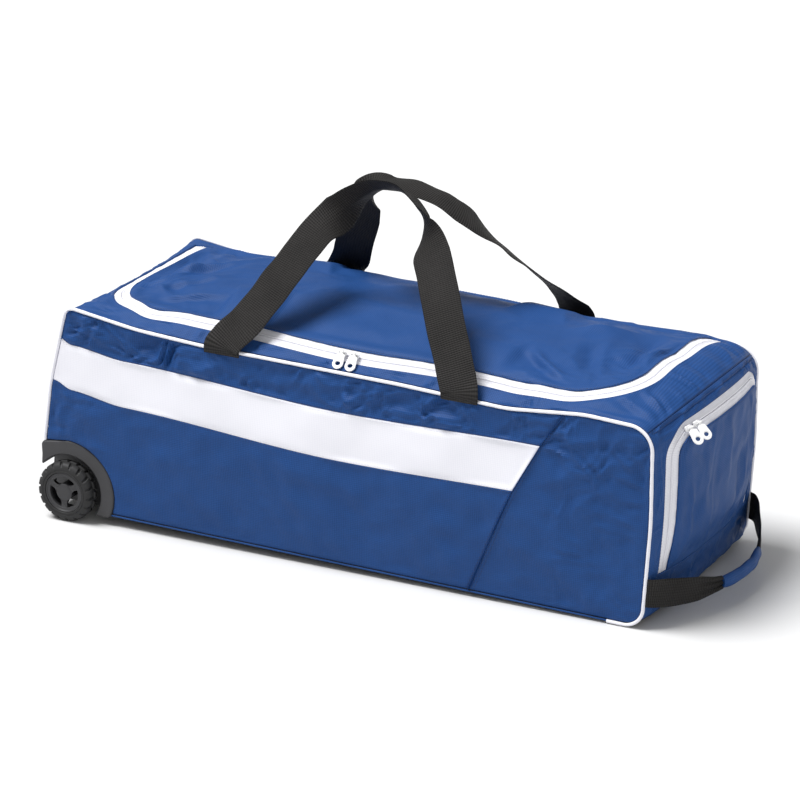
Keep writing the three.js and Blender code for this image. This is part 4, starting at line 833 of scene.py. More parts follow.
def settled(surface, pattern, slack, seed, push=0.4):
    """How far a pinned panel moves along its normal. slack gives the share of spare cloth at each point."""
    down = np.linalg.norm(np.diff(pattern, axis=0), axis=-1).mean(axis=1)
    over = np.linalg.norm(np.diff(pattern, axis=1), axis=-1).mean(axis=0)
    down, over = (np.concatenate([[0.0], np.cumsum(steps)]) for steps in (down, over))
    rows, columns = spaced(down, SOLVER_STEP), spaced(over, SOLVER_STEP)
    coarse = pattern[np.ix_(rows, columns)]
    rest = surface(coarse[..., 0], coarse[..., 1])
    normal = grid_normals(rest, False)
    u, v = coarse[..., 0], coarse[..., 1]
    near = np.minimum.reduce(edge_distances(coarse))
    start = rest + normal * (0.7 * swells(u, v, 45.0, seed) * smooth(near / 20.0))[..., None]
    n, m = rest.shape[:2]
    quads = cell_quads(n, m)
    normals_out = np.sum(np.cross(rest[1, 0] - rest[0, 0], rest[0, 1] - rest[0, 0]) * normal[0, 0]) > 0
    quads = quads if normals_out else quads[:, ::-1]
    mesh = bpy.data.meshes.new("settling")
    mesh.from_pydata((start.reshape(-1, 3) / 1000.0).tolist(), [], quads.tolist())
    cloth = bpy.data.objects.new("settling", mesh)
    bpy.context.scene.collection.objects.link(cloth)
    edge = np.ones((n, m), bool)
    edge[1:-1, 1:-1] = False
    cloth.vertex_groups.new(name="held").add(np.flatnonzero(edge).tolist(), 1.0, "REPLACE")
    spare = cloth.vertex_groups.new(name="spare")
    amount = np.broadcast_to(slack(u, v), (n, m)).ravel()
    for index, share in enumerate(amount / amount.max()):
        spare.add([index], float(share), "REPLACE")
    solver = cloth.modifiers.new("settle", "CLOTH")
    setup = solver.settings
    setup.quality = 6
    setup.mass = 0.05
    setup.tension_stiffness = setup.compression_stiffness = 40.0
    setup.shear_stiffness = 20.0
    setup.bending_stiffness = 0.1
    setup.air_damping = 2.0
    setup.vertex_group_mass = "held"
    setup.vertex_group_shrink = "spare"
    setup.shrink_min = 0.0
    setup.shrink_max = -float(amount.max())
    setup.effector_weights.gravity = 0.3
    setup.use_pressure = True
    setup.uniform_pressure_force = push
    solver.point_cache.frame_end = SOLVER_FRAMES
    scene = bpy.context.scene
    for number in range(1, SOLVER_FRAMES + 1):
        scene.frame_set(number)
    found = cloth.evaluated_get(bpy.context.evaluated_depsgraph_get()).to_mesh()
    place = np.empty(n * m * 3)
    found.vertices.foreach_get("co", place)
    moved = np.sum((place.reshape(n, m, 3) * 1000.0 - rest) * normal, axis=-1)
    bpy.data.objects.remove(cloth)
    scene.frame_set(1)
    moved = np.tanh(moved / MOST_MOVED) * MOST_MOVED
    print("settled", n, "x", m, "moved", moved.min().round(2), "to", moved.max().round(2), "mm")
    return cubic_weights(down, down[rows]) @ moved @ cubic_weights(over, over[columns]).T


# %% Stitches
STITCH_PITCH = 4.6
STITCH_LENGTH = 3.6
STITCH_RADIUS = 0.42
STITCH_SUNK = 0.1


def stitch_mesh(name, rows):
    """Stitches along lines: one small spindle of six sides, carried to every stop with its own frame."""
    around = np.arange(6) * math.pi / 3
    rings = np.array([(-1.0, 0.02), (-0.6, 0.9), (0.6, 0.9), (1.0, 0.02)])
    shape = np.stack(
        [
            np.repeat(rings[:, 0], 6) * STITCH_LENGTH / 2,
            np.outer(rings[:, 1], np.cos(around)).ravel() * STITCH_RADIUS,
            np.outer(rings[:, 1], np.sin(around)).ravel() * STITCH_RADIUS - STITCH_SUNK,
        ],
        axis=-1,
    )
    cell = cell_quads(4, 6, round_columns=True)
    points, faces, count = [], [], 0
    for line, normals in rows:
        size = walked(line)
        stops = (np.arange(int(size[-1] / STITCH_PITCH)) + 0.5) * STITCH_PITCH
        centre = np.stack([np.interp(stops, size, column) for column in line.T], axis=-1)
        up = unit(np.stack([np.interp(stops, size, column) for column in normals.T], axis=-1))
        ahead = np.stack([np.interp(stops + 0.5, size, column) for column in line.T], axis=-1)
        heading = unit(ahead - centre + 1e-9)
        side = np.cross(up, heading)
        frames = np.stack([heading, side, up], axis=1)
        points.append((centre[:, None] + shape[None] @ frames).reshape(-1, 3))
        first = count + np.arange(len(stops)) * len(shape)
        faces.append((cell[None] + first[:, None, None]).reshape(-1, 4))
        count += len(stops) * len(shape)
    points = in_frame(np.concatenate(points))
    mesh = bpy.data.meshes.new(name)
    mesh.from_pydata(points.tolist(), [], outward(points, np.concatenate(faces)).tolist())
    mesh.shade_smooth()
    print(name, "stitches:", count // len(shape))
    return mesh


# every row of stitches is noted here as its panel is built, and all of one colour are made at the end
blue_rows = []
white_rows = []


def sew(outer, normal, index, axis, rows):
    """Notes a row of stitches along one grid line of a finished panel."""
    rows.append((np.take(outer, index, axis=axis), np.take(normal, index, axis=axis)))


def sew_along(surface, line, lift, rows):
    """Notes a row of stitches along a line of pattern points, lifted a little off the surface."""
    u, v = line.T
    place = surface(u, v)
    over, along = surface(u + 1, v) - surface(u - 1, v), surface(u, v + 1) - surface(u, v - 1)
    normal = unit(np.cross(over, along))
    away = np.sum(normal * (place - (0.0, 0.0, BAG_HEIGHT / 2)), axis=-1, keepdims=True)
    normal = normal * np.sign(away)
    rows.append((place + normal * lift, normal))


# %% [markdown]
# ## The front
# The front is four pieces: a blue panel, a white stripe, a blue panel above it, and a corner piece
# past a slanting seam. Their edges are the same lines as in the CAD. The creases were placed by
# looking at the photograph: a few short crushed ones under the top seam and long soft ones beside it.

# %% Lines of the front
STRIPE_X = np.array([-0.945, -0.88, -0.695, 0.028, 0.67]) * HALF_LENGTH
STRIPE_TOP = np.array([0.862, 0.818, 0.788, 0.746, 0.769]) * BAG_HEIGHT
STRIPE_BOTTOM = np.array([0.632, 0.599, 0.568, 0.52, 0.541]) * BAG_HEIGHT
SEAM_Z = np.array([0.0, 0.535, 0.77, 0.93]) * BAG_HEIGHT
SEAM_X = np.array([0.443, 0.587, 0.669, 0.738]) * HALF_LENGTH
ARCH_RADIUS = TYRE_RADIUS + 8.5
GUARD_RADIUS = ARCH_RADIUS + 21.0
BASE_Z = on_outline(sum(SIDES["base"]) / 2)[1]
BASE_REACH = BASE_Z + SEAM_INSET
HOUSING_RIGHT_X = HUB_X + math.sqrt(GUARD_RADIUS**2 - (HUB_Z - BASE_REACH) ** 2)
GUARD_TOP_Z = HUB_Z + GUARD_RADIUS
GUARD_LEFT_Z = GUARD_TOP_Z - 7.0
END_AT_GUARD = on_outline(outline_where("left", 1, GUARD_LEFT_Z))[0]
GUARD_LEFT_X = END_AT_GUARD - 4.0


def guard_line_z(x):
    """The height of the housing's slanting top edge, left of the wheel's centre."""
    return GUARD_TOP_Z + (GUARD_LEFT_Z - GUARD_TOP_Z) * (HUB_X - x) / (HUB_X - GUARD_LEFT_X)


def guard_edge(margin):
    """The cloth's edge round the housing, from the bag's end over the arc to the base."""
    sweep = math.acos((BASE_REACH - HUB_Z) / GUARD_RADIUS)
    angle = np.linspace(0.0, sweep, 60)
    reach = GUARD_RADIUS + margin
    arc = np.stack([HUB_X + reach * np.sin(angle), HUB_Z + reach * np.cos(angle)], axis=-1)
    arc[-1, 1] = BASE_REACH
    corner_x = END_AT_GUARD + SEAM_INSET
    return np.vstack([[corner_x, guard_line_z(corner_x) + 2 * margin], arc])


def seam_x(z):
    """The slanting seam's x at a height."""
    return np.interp(z, SEAM_Z, SEAM_X)


def seam_run(low, high, side):
    """The slanting seam's edge between two heights, half a gap to one side."""
    z = np.linspace(low, high, 40)
    return np.stack([seam_x(z) + side * GAP / 2, z], axis=-1)


def end_run(start, stop):
    """The front's left edge between two points: the inset outline, ending at those points."""
    z = np.linspace(start[1], stop[1], 60)
    x = inset(outline_where("left", 1, z))[..., 0]
    x[0] = start[0]
    x[-1] = stop[0]
    return np.stack([x, z], axis=-1)


def stripe_line(edge, start_x, stop_x, offset):
    """One edge of the stripe, moved up or down by half a gap."""
    x = np.linspace(start_x, stop_x, 300)
    return np.stack([x, eased(x, STRIPE_X, edge) + offset], axis=-1)


def seam_meets(edge):
    """Where the slanting seam crosses an edge of the stripe, by repeated lookup."""
    x = seam_x(0.6 * BAG_HEIGHT)
    for _ in range(12):
        x = seam_x(eased(x, STRIPE_X, edge))
    return float(x), float(eased(x, STRIPE_X, edge))


# %% Creases of the front
# middle x and z, direction in degrees, half length, width, height and bend, all in millimetres
FRONT_CREASES = [
    (-330.0, 262.0, -12.0, 70.0, 9.0, 2.2, 3.0),
    (-395.0, 268.0, 62.0, 26.0, 8.0, 2.6, 2.0),
    (-300.0, 250.0, 30.0, 22.0, 6.0, 2.2, 2.0),
    (-262.0, 262.0, 80.0, 14.0, 6.0, 2.0, 0.0),
    (-205.0, 248.0, 18.0, 55.0, 10.0, 1.8, 4.0),
    (-140.0, 246.0, 58.0, 14.0, 5.0, 2.4, 0.0),
    (-128.0, 243.0, -50.0, 13.0, 5.0, 2.2, 0.0),
    (-60.0, 256.0, 8.0, 70.0, 11.0, 2.0, -4.0),
    (22.0, 246.0, -62.0, 17.0, 6.0, 3.8, 2.0),
    (40.0, 240.0, 34.0, 18.0, 6.0, -3.2, 2.0),
    (60.0, 254.0, 52.0, 24.0, 8.0, 2.6, 2.0),
    (128.0, 258.0, 36.0, 34.0, 10.0, 2.2, 3.0),
    (190.0, 252.0, 24.0, 44.0, 12.0, 2.0, 4.0),
    (262.0, 256.0, 40.0, 28.0, 9.0, 1.8, 2.0),
    (-430.0, 120.0, 86.0, 30.0, 7.0, 1.6, 2.0),
    (-440.0, 142.0, 70.0, 20.0, 6.0, -1.6, 0.0),
    (10.0, 120.0, -8.0, 120.0, 22.0, 1.6, 6.0),
    (-220.0, 110.0, 4.0, 110.0, 24.0, 1.2, 6.0),
    (372.0, 250.0, 12.0, 60.0, 9.0, 2.0, 3.0),
    (428.0, 236.0, -36.0, 26.0, 6.0, 2.0, 2.0),
    (444.0, 205.0, -12.0, 22.0, 5.0, 1.6, 1.0),
    (446.0, 178.0, 6.0, 20.0, 5.0, 1.4, 1.0),
    (440.0, 150.0, -8.0, 24.0, 6.0, 1.4, 1.0),
    (338.0, 190.0, 24.0, 70.0, 14.0, 1.6, 5.0),
    (330.0, 70.0, -20.0, 80.0, 18.0, 1.4, 6.0),
]


def front_height(x, z):
    """Folds of a long side: soft swells, creases, and gathers below the top seam."""
    below = np.maximum(np.interp(x, TOP_X, TOP_Z) - z, 0.0)
    soft = 0.9 * swells(x, z, 150.0, 11) + 0.35 * swells(x, z, 46.0, 12)
    gathers = 0.9 * puckers(x, below, 22.0, 16.0, 13)
    crushed = 2.7 * smooth((z - 190.0) / 45.0) + 1.5 * smooth((-340.0 - x) / 70.0)
    crushed = crushed + 0.8 * smooth((x - 300.0) / 60.0)
    crushed = 0.25 + crushed * (0.35 + 0.65 * patchy(x, z, 120.0, 15))
    return soft + gathers + 1.4 * creases(x, z, FRONT_CREASES) + crushed * crumpled(x, z, 52.0, 17)


def stripe_height(x, z):
    """The stripe is stiffer, so it only swells softly."""
    return 0.9 * swells(x, z, 150.0, 11) + 0.12 * swells(x, z, 46.0, 12)


def front_slack(x, z):
    """Spare cloth of a long side: most under the top seam, little below the stripe."""
    return 0.006 + 0.06 * smooth((z - 205.0) / 50.0) + 0.025 * smooth((x - 300.0) / 120.0)


def even_slack(u, v):
    """The same little spare cloth everywhere."""
    return 0.022 + 0.0 * u


# %% Build the front
FLAT_SEAM = (2.2, 0.6)
DEEP_SEAM = (3.4, 2.0)


def panel(name, surface, pattern, field, flat, slack=None, seed=1, material=blue_cloth, slot="blue_cloth"):
    """A sewn panel: its folds fade to nothing at its edges, which roll into their seams.

    flat lists the edges that are sewn flat: 0 the first, 1 the last, 2 the lower, 3 the upper.
    """
    away = edge_distances(pattern)
    height = field(pattern[..., 0], pattern[..., 1]) * smooth(np.minimum.reduce(away) / 9.0)
    if slack is not None:
        height = height + settled(surface, pattern, slack, seed)
    for number, distance in enumerate(away):
        height = height - rolled(distance, *(FLAT_SEAM if number in flat else DEEP_SEAM))
    outer, under, normal = cloth_grid(surface, pattern, height)
    add_piece(shell_mesh(name, outer, under, pattern), material, "bag", slot, name.removesuffix("_cloth"))
    return outer, normal


def build_front():
    """The four cut pieces of the front, with a row of stitches beside each seam."""
    guard = guard_edge(2 * GAP)
    seam_foot_x = float(SEAM_X[0])
    floor_x = np.linspace(guard[-1, 0], seam_foot_x - GAP / 2, 200)[1:]
    lower_edge = np.vstack([guard, inset(outline_where("base", 0, floor_x))])
    foot_z = inset(outline_where("base", 0, seam_foot_x))[1]
    lower_edge[-1, 0] = seam_x(foot_z) - GAP / 2
    top_meet = seam_meets(STRIPE_TOP)
    low_meet = seam_meets(STRIPE_BOTTOM)
    left_low = inset(outline_where("left", 1, STRIPE_BOTTOM[0]))[0]
    left_high = inset(outline_where("left", 1, STRIPE_TOP[0]))[0]
    half = GAP / 2

    lower_up = stripe_line(STRIPE_BOTTOM, left_low, low_meet[0] - half, -half)
    left = end_run(lower_edge[0], lower_up[0])
    lower = patch(lower_edge, lower_up, left, seam_run(foot_z, low_meet[1] - half, -1), 4.0)
    outer, normal = panel(
        "front_lower_panel_cloth", front_point, lower, front_height, (1, 3), front_slack, 14
    )
    for index, axis in ((-4, 1), (-5, 0), (2, 1)):
        sew(outer, normal, index, axis, blue_rows)

    stripe_low = stripe_line(STRIPE_BOTTOM, left_low, low_meet[0] - half, half)
    stripe_high = stripe_line(STRIPE_TOP, left_high, top_meet[0] - half, -half)
    right = seam_run(low_meet[1] + half, top_meet[1] - half, -1)
    stripe = patch(stripe_low, stripe_high, end_run(stripe_low[0], stripe_high[0]), right, 4.0)
    white = {"material": white_cloth, "slot": "white_cloth"}
    outer, normal = panel("front_stripe_cloth", front_point, stripe, stripe_height, (1, 2, 3), **white)
    sew(outer, normal, 4, 1, white_rows)
    sew(outer, normal, -5, 1, white_rows)

    upper_low = stripe_line(STRIPE_TOP, left_high, top_meet[0] - half, half)
    head = outline_where("top", 0, seam_x(0.92 * BAG_HEIGHT))
    upper_top = inset(np.linspace(BENDS[TOP_LEFT], head, 240))
    upper_top[-1, 0] = seam_x(upper_top[-1, 1]) - half
    right = seam_run(top_meet[1] + half, upper_top[-1, 1], -1)
    upper = patch(upper_low, upper_top, end_run(upper_low[0], upper_top[0]), right, 2.4)
    outer, normal = panel(
        "front_upper_panel_cloth", front_point, upper, front_height, (1, 2), front_slack, 15
    )
    for index in (3, -3):
        sew(outer, normal, index, 1, blue_rows)

    seam = seam_run(foot_z, upper_top[-1, 1], 1)
    foot = inset(np.linspace(outline_where("base", 0, seam_foot_x + half), BENDS[BASE_RIGHT], 120))
    foot[0] = seam[0]
    top = inset(np.linspace(head, BENDS[TOP_RIGHT], 120))
    top[0] = seam[-1]
    edge = inset(np.linspace(BENDS[BASE_RIGHT], BENDS[TOP_RIGHT], 160))
    corner = patch(foot, top, seam, edge, 3.5)
    outer, normal = panel(
        "front_corner_panel_cloth", front_point, corner, front_height, (0,), front_slack, 16
    )
    for index, axis in ((4, 0), (6, 0), (-3, 1), (-3, 0)):
        sew(outer, normal, index, axis, blue_rows)


build_front()


# %% Build the back
def back_height(x, z):
    """The back's folds: its own swells and gathers, with no creases read off a picture."""
    below = np.maximum(np.interp(x, TOP_X, TOP_Z) - z, 0.0)
    soft = 1.2 * swells(x, z, 170.0, 21) + 0.4 * swells(x, z, 52.0, 22)
    crushed = (0.4 + 1.4 * smooth((z - 200.0) / 50.0)) * patchy(x, z, 130.0, 25)
    folds = creases(x, z, BACK_CREASES) + crushed * crumpled(x, z, 64.0, 26)
    return soft + 0.9 * puckers(x, below, 24.0, 18.0, 23) + folds


BACK_CREASES = [
    (-250.0, 200.0, 24.0, 90.0, 14.0, 2.0, 8.0),
    (-60.0, 120.0, -14.0, 130.0, 20.0, 1.8, 10.0),
    (150.0, 215.0, -28.0, 80.0, 12.0, 2.0, 6.0),
    (310.0, 110.0, 18.0, 90.0, 16.0, 1.8, 8.0),
]


def build_back():
    """The other long side, one piece."""
    guard = guard_edge(2 * GAP)
    start = outline_where("base", 0, guard[-1, 0])
    floor = inset(np.linspace(start, BENDS[BASE_RIGHT], 300)[1:])
    lower_edge = np.vstack([guard, floor])
    top = inset(np.linspace(BENDS[TOP_LEFT], BENDS[TOP_RIGHT], 300))
    right = inset(np.linspace(BENDS[BASE_RIGHT], BENDS[TOP_RIGHT], 160))
    pattern = patch(lower_edge, top, end_run(lower_edge[0], top[0]), right, 6.0)
    panel("back_panel_cloth", back_point, pattern, back_height, (), front_slack, 24)


build_back()

# %% [markdown]
# ## Openings
# The lid and the end pocket are cut the same way: a panel with a sewn edge on one side and a zip round
# the other three. The zip runs down one side, round a bend, along the front and up the other side.
# Everything beside it, the panel, the two tapes and the cloth round them, is drawn from that one line.


# %% Zip lines and what follows them
LAP = 1.6
ZIP_STEP = 3.6
PANEL_STEP = 3.4
RING_STEP = 2.0
TAPE_THICKNESS = 1.2


def zip_line(start, end, front, seam, radius, step=ZIP_STEP):
    """The panel's zipped edge from the seam down, round, along and up, with its outward directions."""
    bend = np.linspace(0.0, math.pi / 2, 40)
    near = np.stack([start + radius * (1 - np.cos(bend)), radius * (1 - np.sin(bend))], axis=-1)
    run = np.linspace(start + radius, end - radius, int((end - start - 2 * radius) / step) + 2)[1:-1]
    middle = np.stack([run, 0 * run], axis=-1)
    far = np.stack([end - radius * (1 - np.sin(bend)), radius * (1 - np.cos(bend))], axis=-1)
    lower = np.vstack([near, middle, far])
    lower[:, 1] += front(lower[:, 0])
    left = np.linspace(seam, lower[0, 1], max(12, int(abs(seam - lower[0, 1]) / step)))[:-1]
    right = np.linspace(lower[-1, 1], seam, len(left) + 1)[1:]
    line = np.vstack(
        [
            np.stack([np.full(len(left), start), left], axis=-1),
            lower,
            np.stack([np.full(len(right), end), right], axis=-1),
        ]
    )
    heading = unit(np.gradient(line, axis=0))
    out = np.stack([heading[:, 1], -heading[:, 0]], axis=-1)
    out[: len(left)] = (-1.0, 0.0)
    out[-len(right) :] = (1.0, 0.0)
    return line, out, len(left)


def distance_to(pattern, line):
    """The shortest distance from each pattern point to a line's points: squares by one matrix product."""
    flat = pattern.reshape(-1, 2)
    far = (flat**2).sum(axis=1)[:, None] + (line**2).sum(axis=1)[None] - 2.0 * flat @ line.T
    return np.sqrt(np.maximum(far.min(axis=1), 0.0)).reshape(pattern.shape[:2])


def panel_pattern(line, corner, seam):
    """The panel inside the zip: columns that stand on the zip's lower run and reach the seam."""
    lower = line[corner : len(line) - corner]
    rise = stops_for(abs(seam - lower[len(lower) // 2, 1]), PANEL_STEP)
    columns = lower[:, None, 1] + (seam - lower[:, None, 1]) * rise[None]
    return np.stack([np.broadcast_to(lower[:, None, 0], columns.shape), columns], axis=-1)


def tape_pattern(line, out, low, high, columns):
    """A strip along the zip between two distances outside it."""
    offsets = low + (high - low) * columns
    return line[:, None] + out[:, None] * offsets[None, :, None]


def surround_pattern(line, out, corner, seam, bounds):
    """The cloth round an opening: a ring of lines from the tapes' outer edge to the panel's own edges."""
    left, right, front, back = bounds
    edge = line + out * (3 * GAP + 2 * TAPE_WIDTH - LAP)
    edge[[0, -1], 1] = seam + math.copysign(GAP, back - seam)
    turn = corner + 20
    last = len(line) - 1
    index = np.arange(len(line))
    rim = np.empty_like(edge)
    down = index / turn
    up = (last - index) / turn
    across = left + (right - left) * (index - turn) / (last - 2 * turn)
    near, far = index <= turn, index >= last - turn
    rim[:, 0] = np.select([near, far], [left, right], across)
    rim[:, 1] = np.select([near, far], [back + (front - back) * down, back + (front - back) * up], front)
    count = int((right - left) / PANEL_STEP)
    top_x = np.linspace(edge[-1, 0], edge[0, 0], count)[1:-1]
    seam_edge = np.stack([top_x, np.full(len(top_x), edge[0, 1])], axis=-1)
    seam_rim = np.stack([np.linspace(right, left, count)[1:-1], np.full(len(top_x), back)], axis=-1)
    inside = np.vstack([edge, seam_edge])
    outside = np.vstack([rim, seam_rim])
    share = stops_for(60.0, RING_STEP)
    return inside[:, None] + (outside - inside)[:, None] * share[None, :, None]


# %% The lid and its rim
LID_START = 42.0
LID_END = TOP_LENGTH - 53.0
LID_RADIUS = 88.0
LID_SEAM = top_across(0.85)
LID_FRONT_AT = np.array([0.0, 0.22, 0.5, 0.72, 0.88, 1.0]) * TOP_LENGTH
LID_FRONT_Y = np.array([-0.775, -0.77, -0.815, -0.77, -0.8, -0.8])


def lid_front(along):
    """The lid's front edge on the cloth, at a distance along the top."""
    return top_across(eased(along, LID_FRONT_AT, LID_FRONT_Y))


TOP_CREASES = [
    (115.0, 20.0, 36.0, 64.0, 9.0, 2.8, 4.0),
    (92.0, 6.0, 26.0, 56.0, 8.0, 2.4, 3.0),
    (121.0, -50.0, 34.0, 56.0, 8.0, 2.2, 4.0),
    (76.0, -34.0, 52.0, 44.0, 9.0, 2.2, 4.0),
    (150.0, -92.0, 14.0, 60.0, 8.0, 2.0, 3.0),
    (250.0, -60.0, 6.0, 120.0, 26.0, 2.0, 8.0),
    (420.0, -40.0, -4.0, 160.0, 30.0, 1.8, 8.0),
    (600.0, -90.0, -30.0, 70.0, 16.0, 2.2, 6.0),
    (700.0, -100.0, -38.0, 60.0, 10.0, 3.0, 6.0),
    (794.0, 0.0, 92.0, 76.0, 13.0, -4.2, 4.0),
    (760.0, -50.0, -70.0, 50.0, 11.0, 2.4, 6.0),
    (820.0, 20.0, 82.0, 56.0, 10.0, 2.2, 4.0),
    (720.0, 40.0, 30.0, 80.0, 18.0, 2.4, 8.0),
    (300.0, 90.0, 8.0, 160.0, 24.0, 2.0, 8.0),
]


def beside_straps(along, across):
    """One where the cloth is free, and little where a carry strap lies close above it."""
    x = on_outline(TOP_START + along)[0]
    away = np.abs(np.abs(x - STRAP_SHIFT) - STRAP_SPREAD / 2) - STRAP_WIDTH / 2
    return 0.1 + 0.9 * np.maximum(smooth(away / 22.0), smooth((90.0 - np.abs(across)) / 50.0))


def top_height(along, across):
    """Folds of the lid: soft swells, radiating pleats at its corners and dips at its far end."""
    soft = 1.1 * swells(along, across, 160.0, 31) + 0.3 * swells(along, across, 50.0, 32)
    crushed = 0.3 + 1.3 * smooth((210.0 - along) / 110.0) + 1.2 * smooth((along - 610.0) / 110.0)
    folds = 2.2 * creases(along, across, TOP_CREASES) + crushed * crumpled(along, across, 105.0, 37)
    return (soft + folds) * beside_straps(along, across)


RIM_CREASES = [
    (205.0, -176.0, 84.0, 11.0, 5.0, 1.8, 0.0),
    (232.0, -178.0, 70.0, 11.0, 4.0, 1.6, 0.0),
    (300.0, -178.0, -76.0, 11.0, 5.0, 1.8, 0.0),
    (402.0, -180.0, 84.0, 11.0, 4.0, 2.0, 0.0),
    (470.0, -178.0, -70.0, 12.0, 4.0, 1.8, 0.0),
    (560.0, -178.0, 76.0, 12.0, 5.0, 1.8, 0.0),
    (640.0, -176.0, -80.0, 12.0, 5.0, 1.6, 0.0),
    (845.0, -150.0, -22.0, 52.0, 8.0, 2.6, 4.0),
    (866.0, -130.0, -34.0, 46.0, 7.0, 2.4, 3.0),
    (880.0, -120.0, -30.0, 30.0, 6.0, 2.6, 3.0),
    (885.0, -90.0, -14.0, 30.0, 5.0, 2.2, 2.0),
    (880.0, -50.0, 6.0, 28.0, 6.0, 2.2, 2.0),
    (884.0, 0.0, -8.0, 28.0, 6.0, 2.0, 2.0),
]


def build_opening(names, surface, line, out, corner, seam, bounds, field, rim_field):
    """The panel, its two tapes and the cloth round them."""
    panel_name, inner_name, outer_name, rim_name = names
    edge = line + out * LAP
    pattern = panel_pattern(edge, corner, seam)
    away = distance_to(pattern, edge)
    to_seam = np.abs(seam - pattern[..., 1])
    height = field(pattern[..., 0], pattern[..., 1]) * smooth(np.minimum(away, to_seam) / 14.0)
    still = beside_straps(pattern[..., 0], pattern[..., 1]) if surface is top_point else 1.0
    height = height + still * settled(surface, pattern, even_slack, len(panel_name), 0.3)
    height = height - rolled(away, 2.5, 0.5) - rolled(to_seam, 4.0, 1.3)
    outer, under, normal = cloth_grid(surface, pattern, height)
    mesh = shell_mesh(panel_name + "_cloth", outer, under, pattern)
    add_piece(mesh, blue_cloth, "bag", "blue_cloth", panel_name)
    sew(outer, normal, 3, 1, blue_rows)

    columns = [0.0, 0.02, 0.06, 0.12, 0.18, 0.25, 0.4, 0.55, 0.7, 0.76, 0.82, 0.88, 0.93, 0.97, 1.0]
    columns = np.array(columns)
    tapes = ((inner_name, GAP, 1), (outer_name, 2 * GAP + TAPE_WIDTH, 0))
    for name, low, middle_edge in tapes:
        strip = tape_pattern(line, out, low, low + TAPE_WIDTH, columns)
        from_teeth = np.broadcast_to((1 - columns if middle_edge else columns) * TAPE_WIDTH, strip.shape[:2])
        walk = np.broadcast_to(walked(line)[:, None], strip.shape[:2])
        height = -2.6 + 0.8 * np.exp(-(((from_teeth - 1.7) / 0.9) ** 2))
        height = height - 0.5 * np.exp(-(((from_teeth - 3.6) / 0.5) ** 2))
        height = height - 1.4 * rolled(from_teeth, 0.9, 1.0)
        height = height + 0.22 * swells(walk, from_teeth, 20.0, 41 + middle_edge) * smooth(from_teeth / 6.0)
        outer, under, _ = cloth_grid(surface, strip, height, thickness=TAPE_THICKNESS)
        uv = np.stack([walk, from_teeth], axis=-1)
        add_piece(shell_mesh(name + "_weave", outer, under, uv), zip_tape, "bag", "white_cloth", name)

    ring = surround_pattern(line, out, corner, seam, bounds)
    to_tape, to_edge = edge_distances(ring)[2:]
    height = rim_field(ring[..., 0], ring[..., 1]) * smooth(np.minimum(to_tape, to_edge) / 10.0)
    height = height - rolled(to_tape, 2.5, 0.5) - rolled(to_edge, 4.0, 1.4)
    outer, under, normal = cloth_grid(surface, ring, height, wrapped=True)
    mesh = shell_mesh(rim_name + "_cloth", outer, under, ring, wrapped=True)
    add_piece(mesh, blue_cloth, "bag", "blue_cloth", rim_name)
    for index in (3, -4):
        sew(outer, normal, index, 1, blue_rows)


def rim_height(along, across):
    """Folds of the strip between the zip and the piping."""
    soft = 0.6 * swells(along, across, 60.0, 33) + 0.15 * swells(along, across, 24.0, 34)
    far = smooth((along - 740.0) / 60.0)
    crushed = (0.5 + 0.6 * patchy(along, across, 120.0, 35)) * (1.0 - far)
    crushed = crushed * crumpled(along, 0.8 * across, 46.0, 38)
    gathered = 1.7 * far * crumpled(0.5 * (along - 0.4 * across), across, 84.0, 39)
    folds = 1.5 * creases(along, across, RIM_CREASES) + crushed + gathered
    return (soft + folds) * beside_straps(along, across)


TOP_REACH = float(top_across((HALF_WIDTH - SEAM_INSET) / HALF_WIDTH))
lid_line, lid_out, lid_corner = zip_line(LID_START, LID_END, lid_front, LID_SEAM, LID_RADIUS)
build_opening(
    ("lid", "lid_zip_tape_inner", "lid_zip_tape_outer", "top_rim"),
    top_point,
    lid_line,
    lid_out,
    lid_corner,
    LID_SEAM,
    (GAP / 2, TOP_LENGTH - GAP / 2, -TOP_REACH, TOP_REACH),
    top_height,
    rim_height,
)

# %% The end pocket and the cloth round it
POCKET_CREASES = [
    (-96.0, 150.0, 84.0, 60.0, 8.0, 2.4, 4.0),
    (-60.0, 120.0, 96.0, 70.0, 10.0, 2.0, 6.0),
    (10.0, 110.0, 86.0, 60.0, 10.0, 1.8, 6.0),
    (84.0, 130.0, 98.0, 70.0, 9.0, 2.2, 4.0),
    (-30.0, 205.0, 60.0, 34.0, 7.0, 2.0, 3.0),
    (50.0, 200.0, -58.0, 34.0, 7.0, 2.0, 3.0),
]
END_CREASES = [
    (-160.0, 80.0, 84.0, 60.0, 5.0, 1.6, 1.0),
    (-150.0, 255.0, 30.0, 30.0, 6.0, 2.0, 2.0),
    (-60.0, 258.0, 80.0, 22.0, 7.0, 2.2, 2.0),
    (20.0, 256.0, 96.0, 22.0, 7.0, 2.0, 2.0),
    (100.0, 258.0, 84.0, 22.0, 7.0, 2.2, 2.0),
]


def pocket_height(across, down):
    """Folds of the pocket's front, which hangs slack from its zip."""
    crushed = 0.9 * crumpled(across + 0.2 * down, 0.3 * down, 78.0, 53)
    return swells(across, down, 90.0, 51) + creases(across, down, POCKET_CREASES) + crushed


def end_height(across, down):
    """Folds of the end round the pocket."""
    folds = creases(across, down, END_CREASES) + crumpled(across, down, 48.0, 54)
    lapped = -1.3 * np.exp(-(((down - 8.6) / 1.1) ** 2))
    return 0.7 * swells(across, down, 60.0, 52) + folds + lapped


def pocket_front(across):
    """The pocket's zip is straight across."""
    return np.full(np.shape(across), POCKET_TOP_MARGIN)


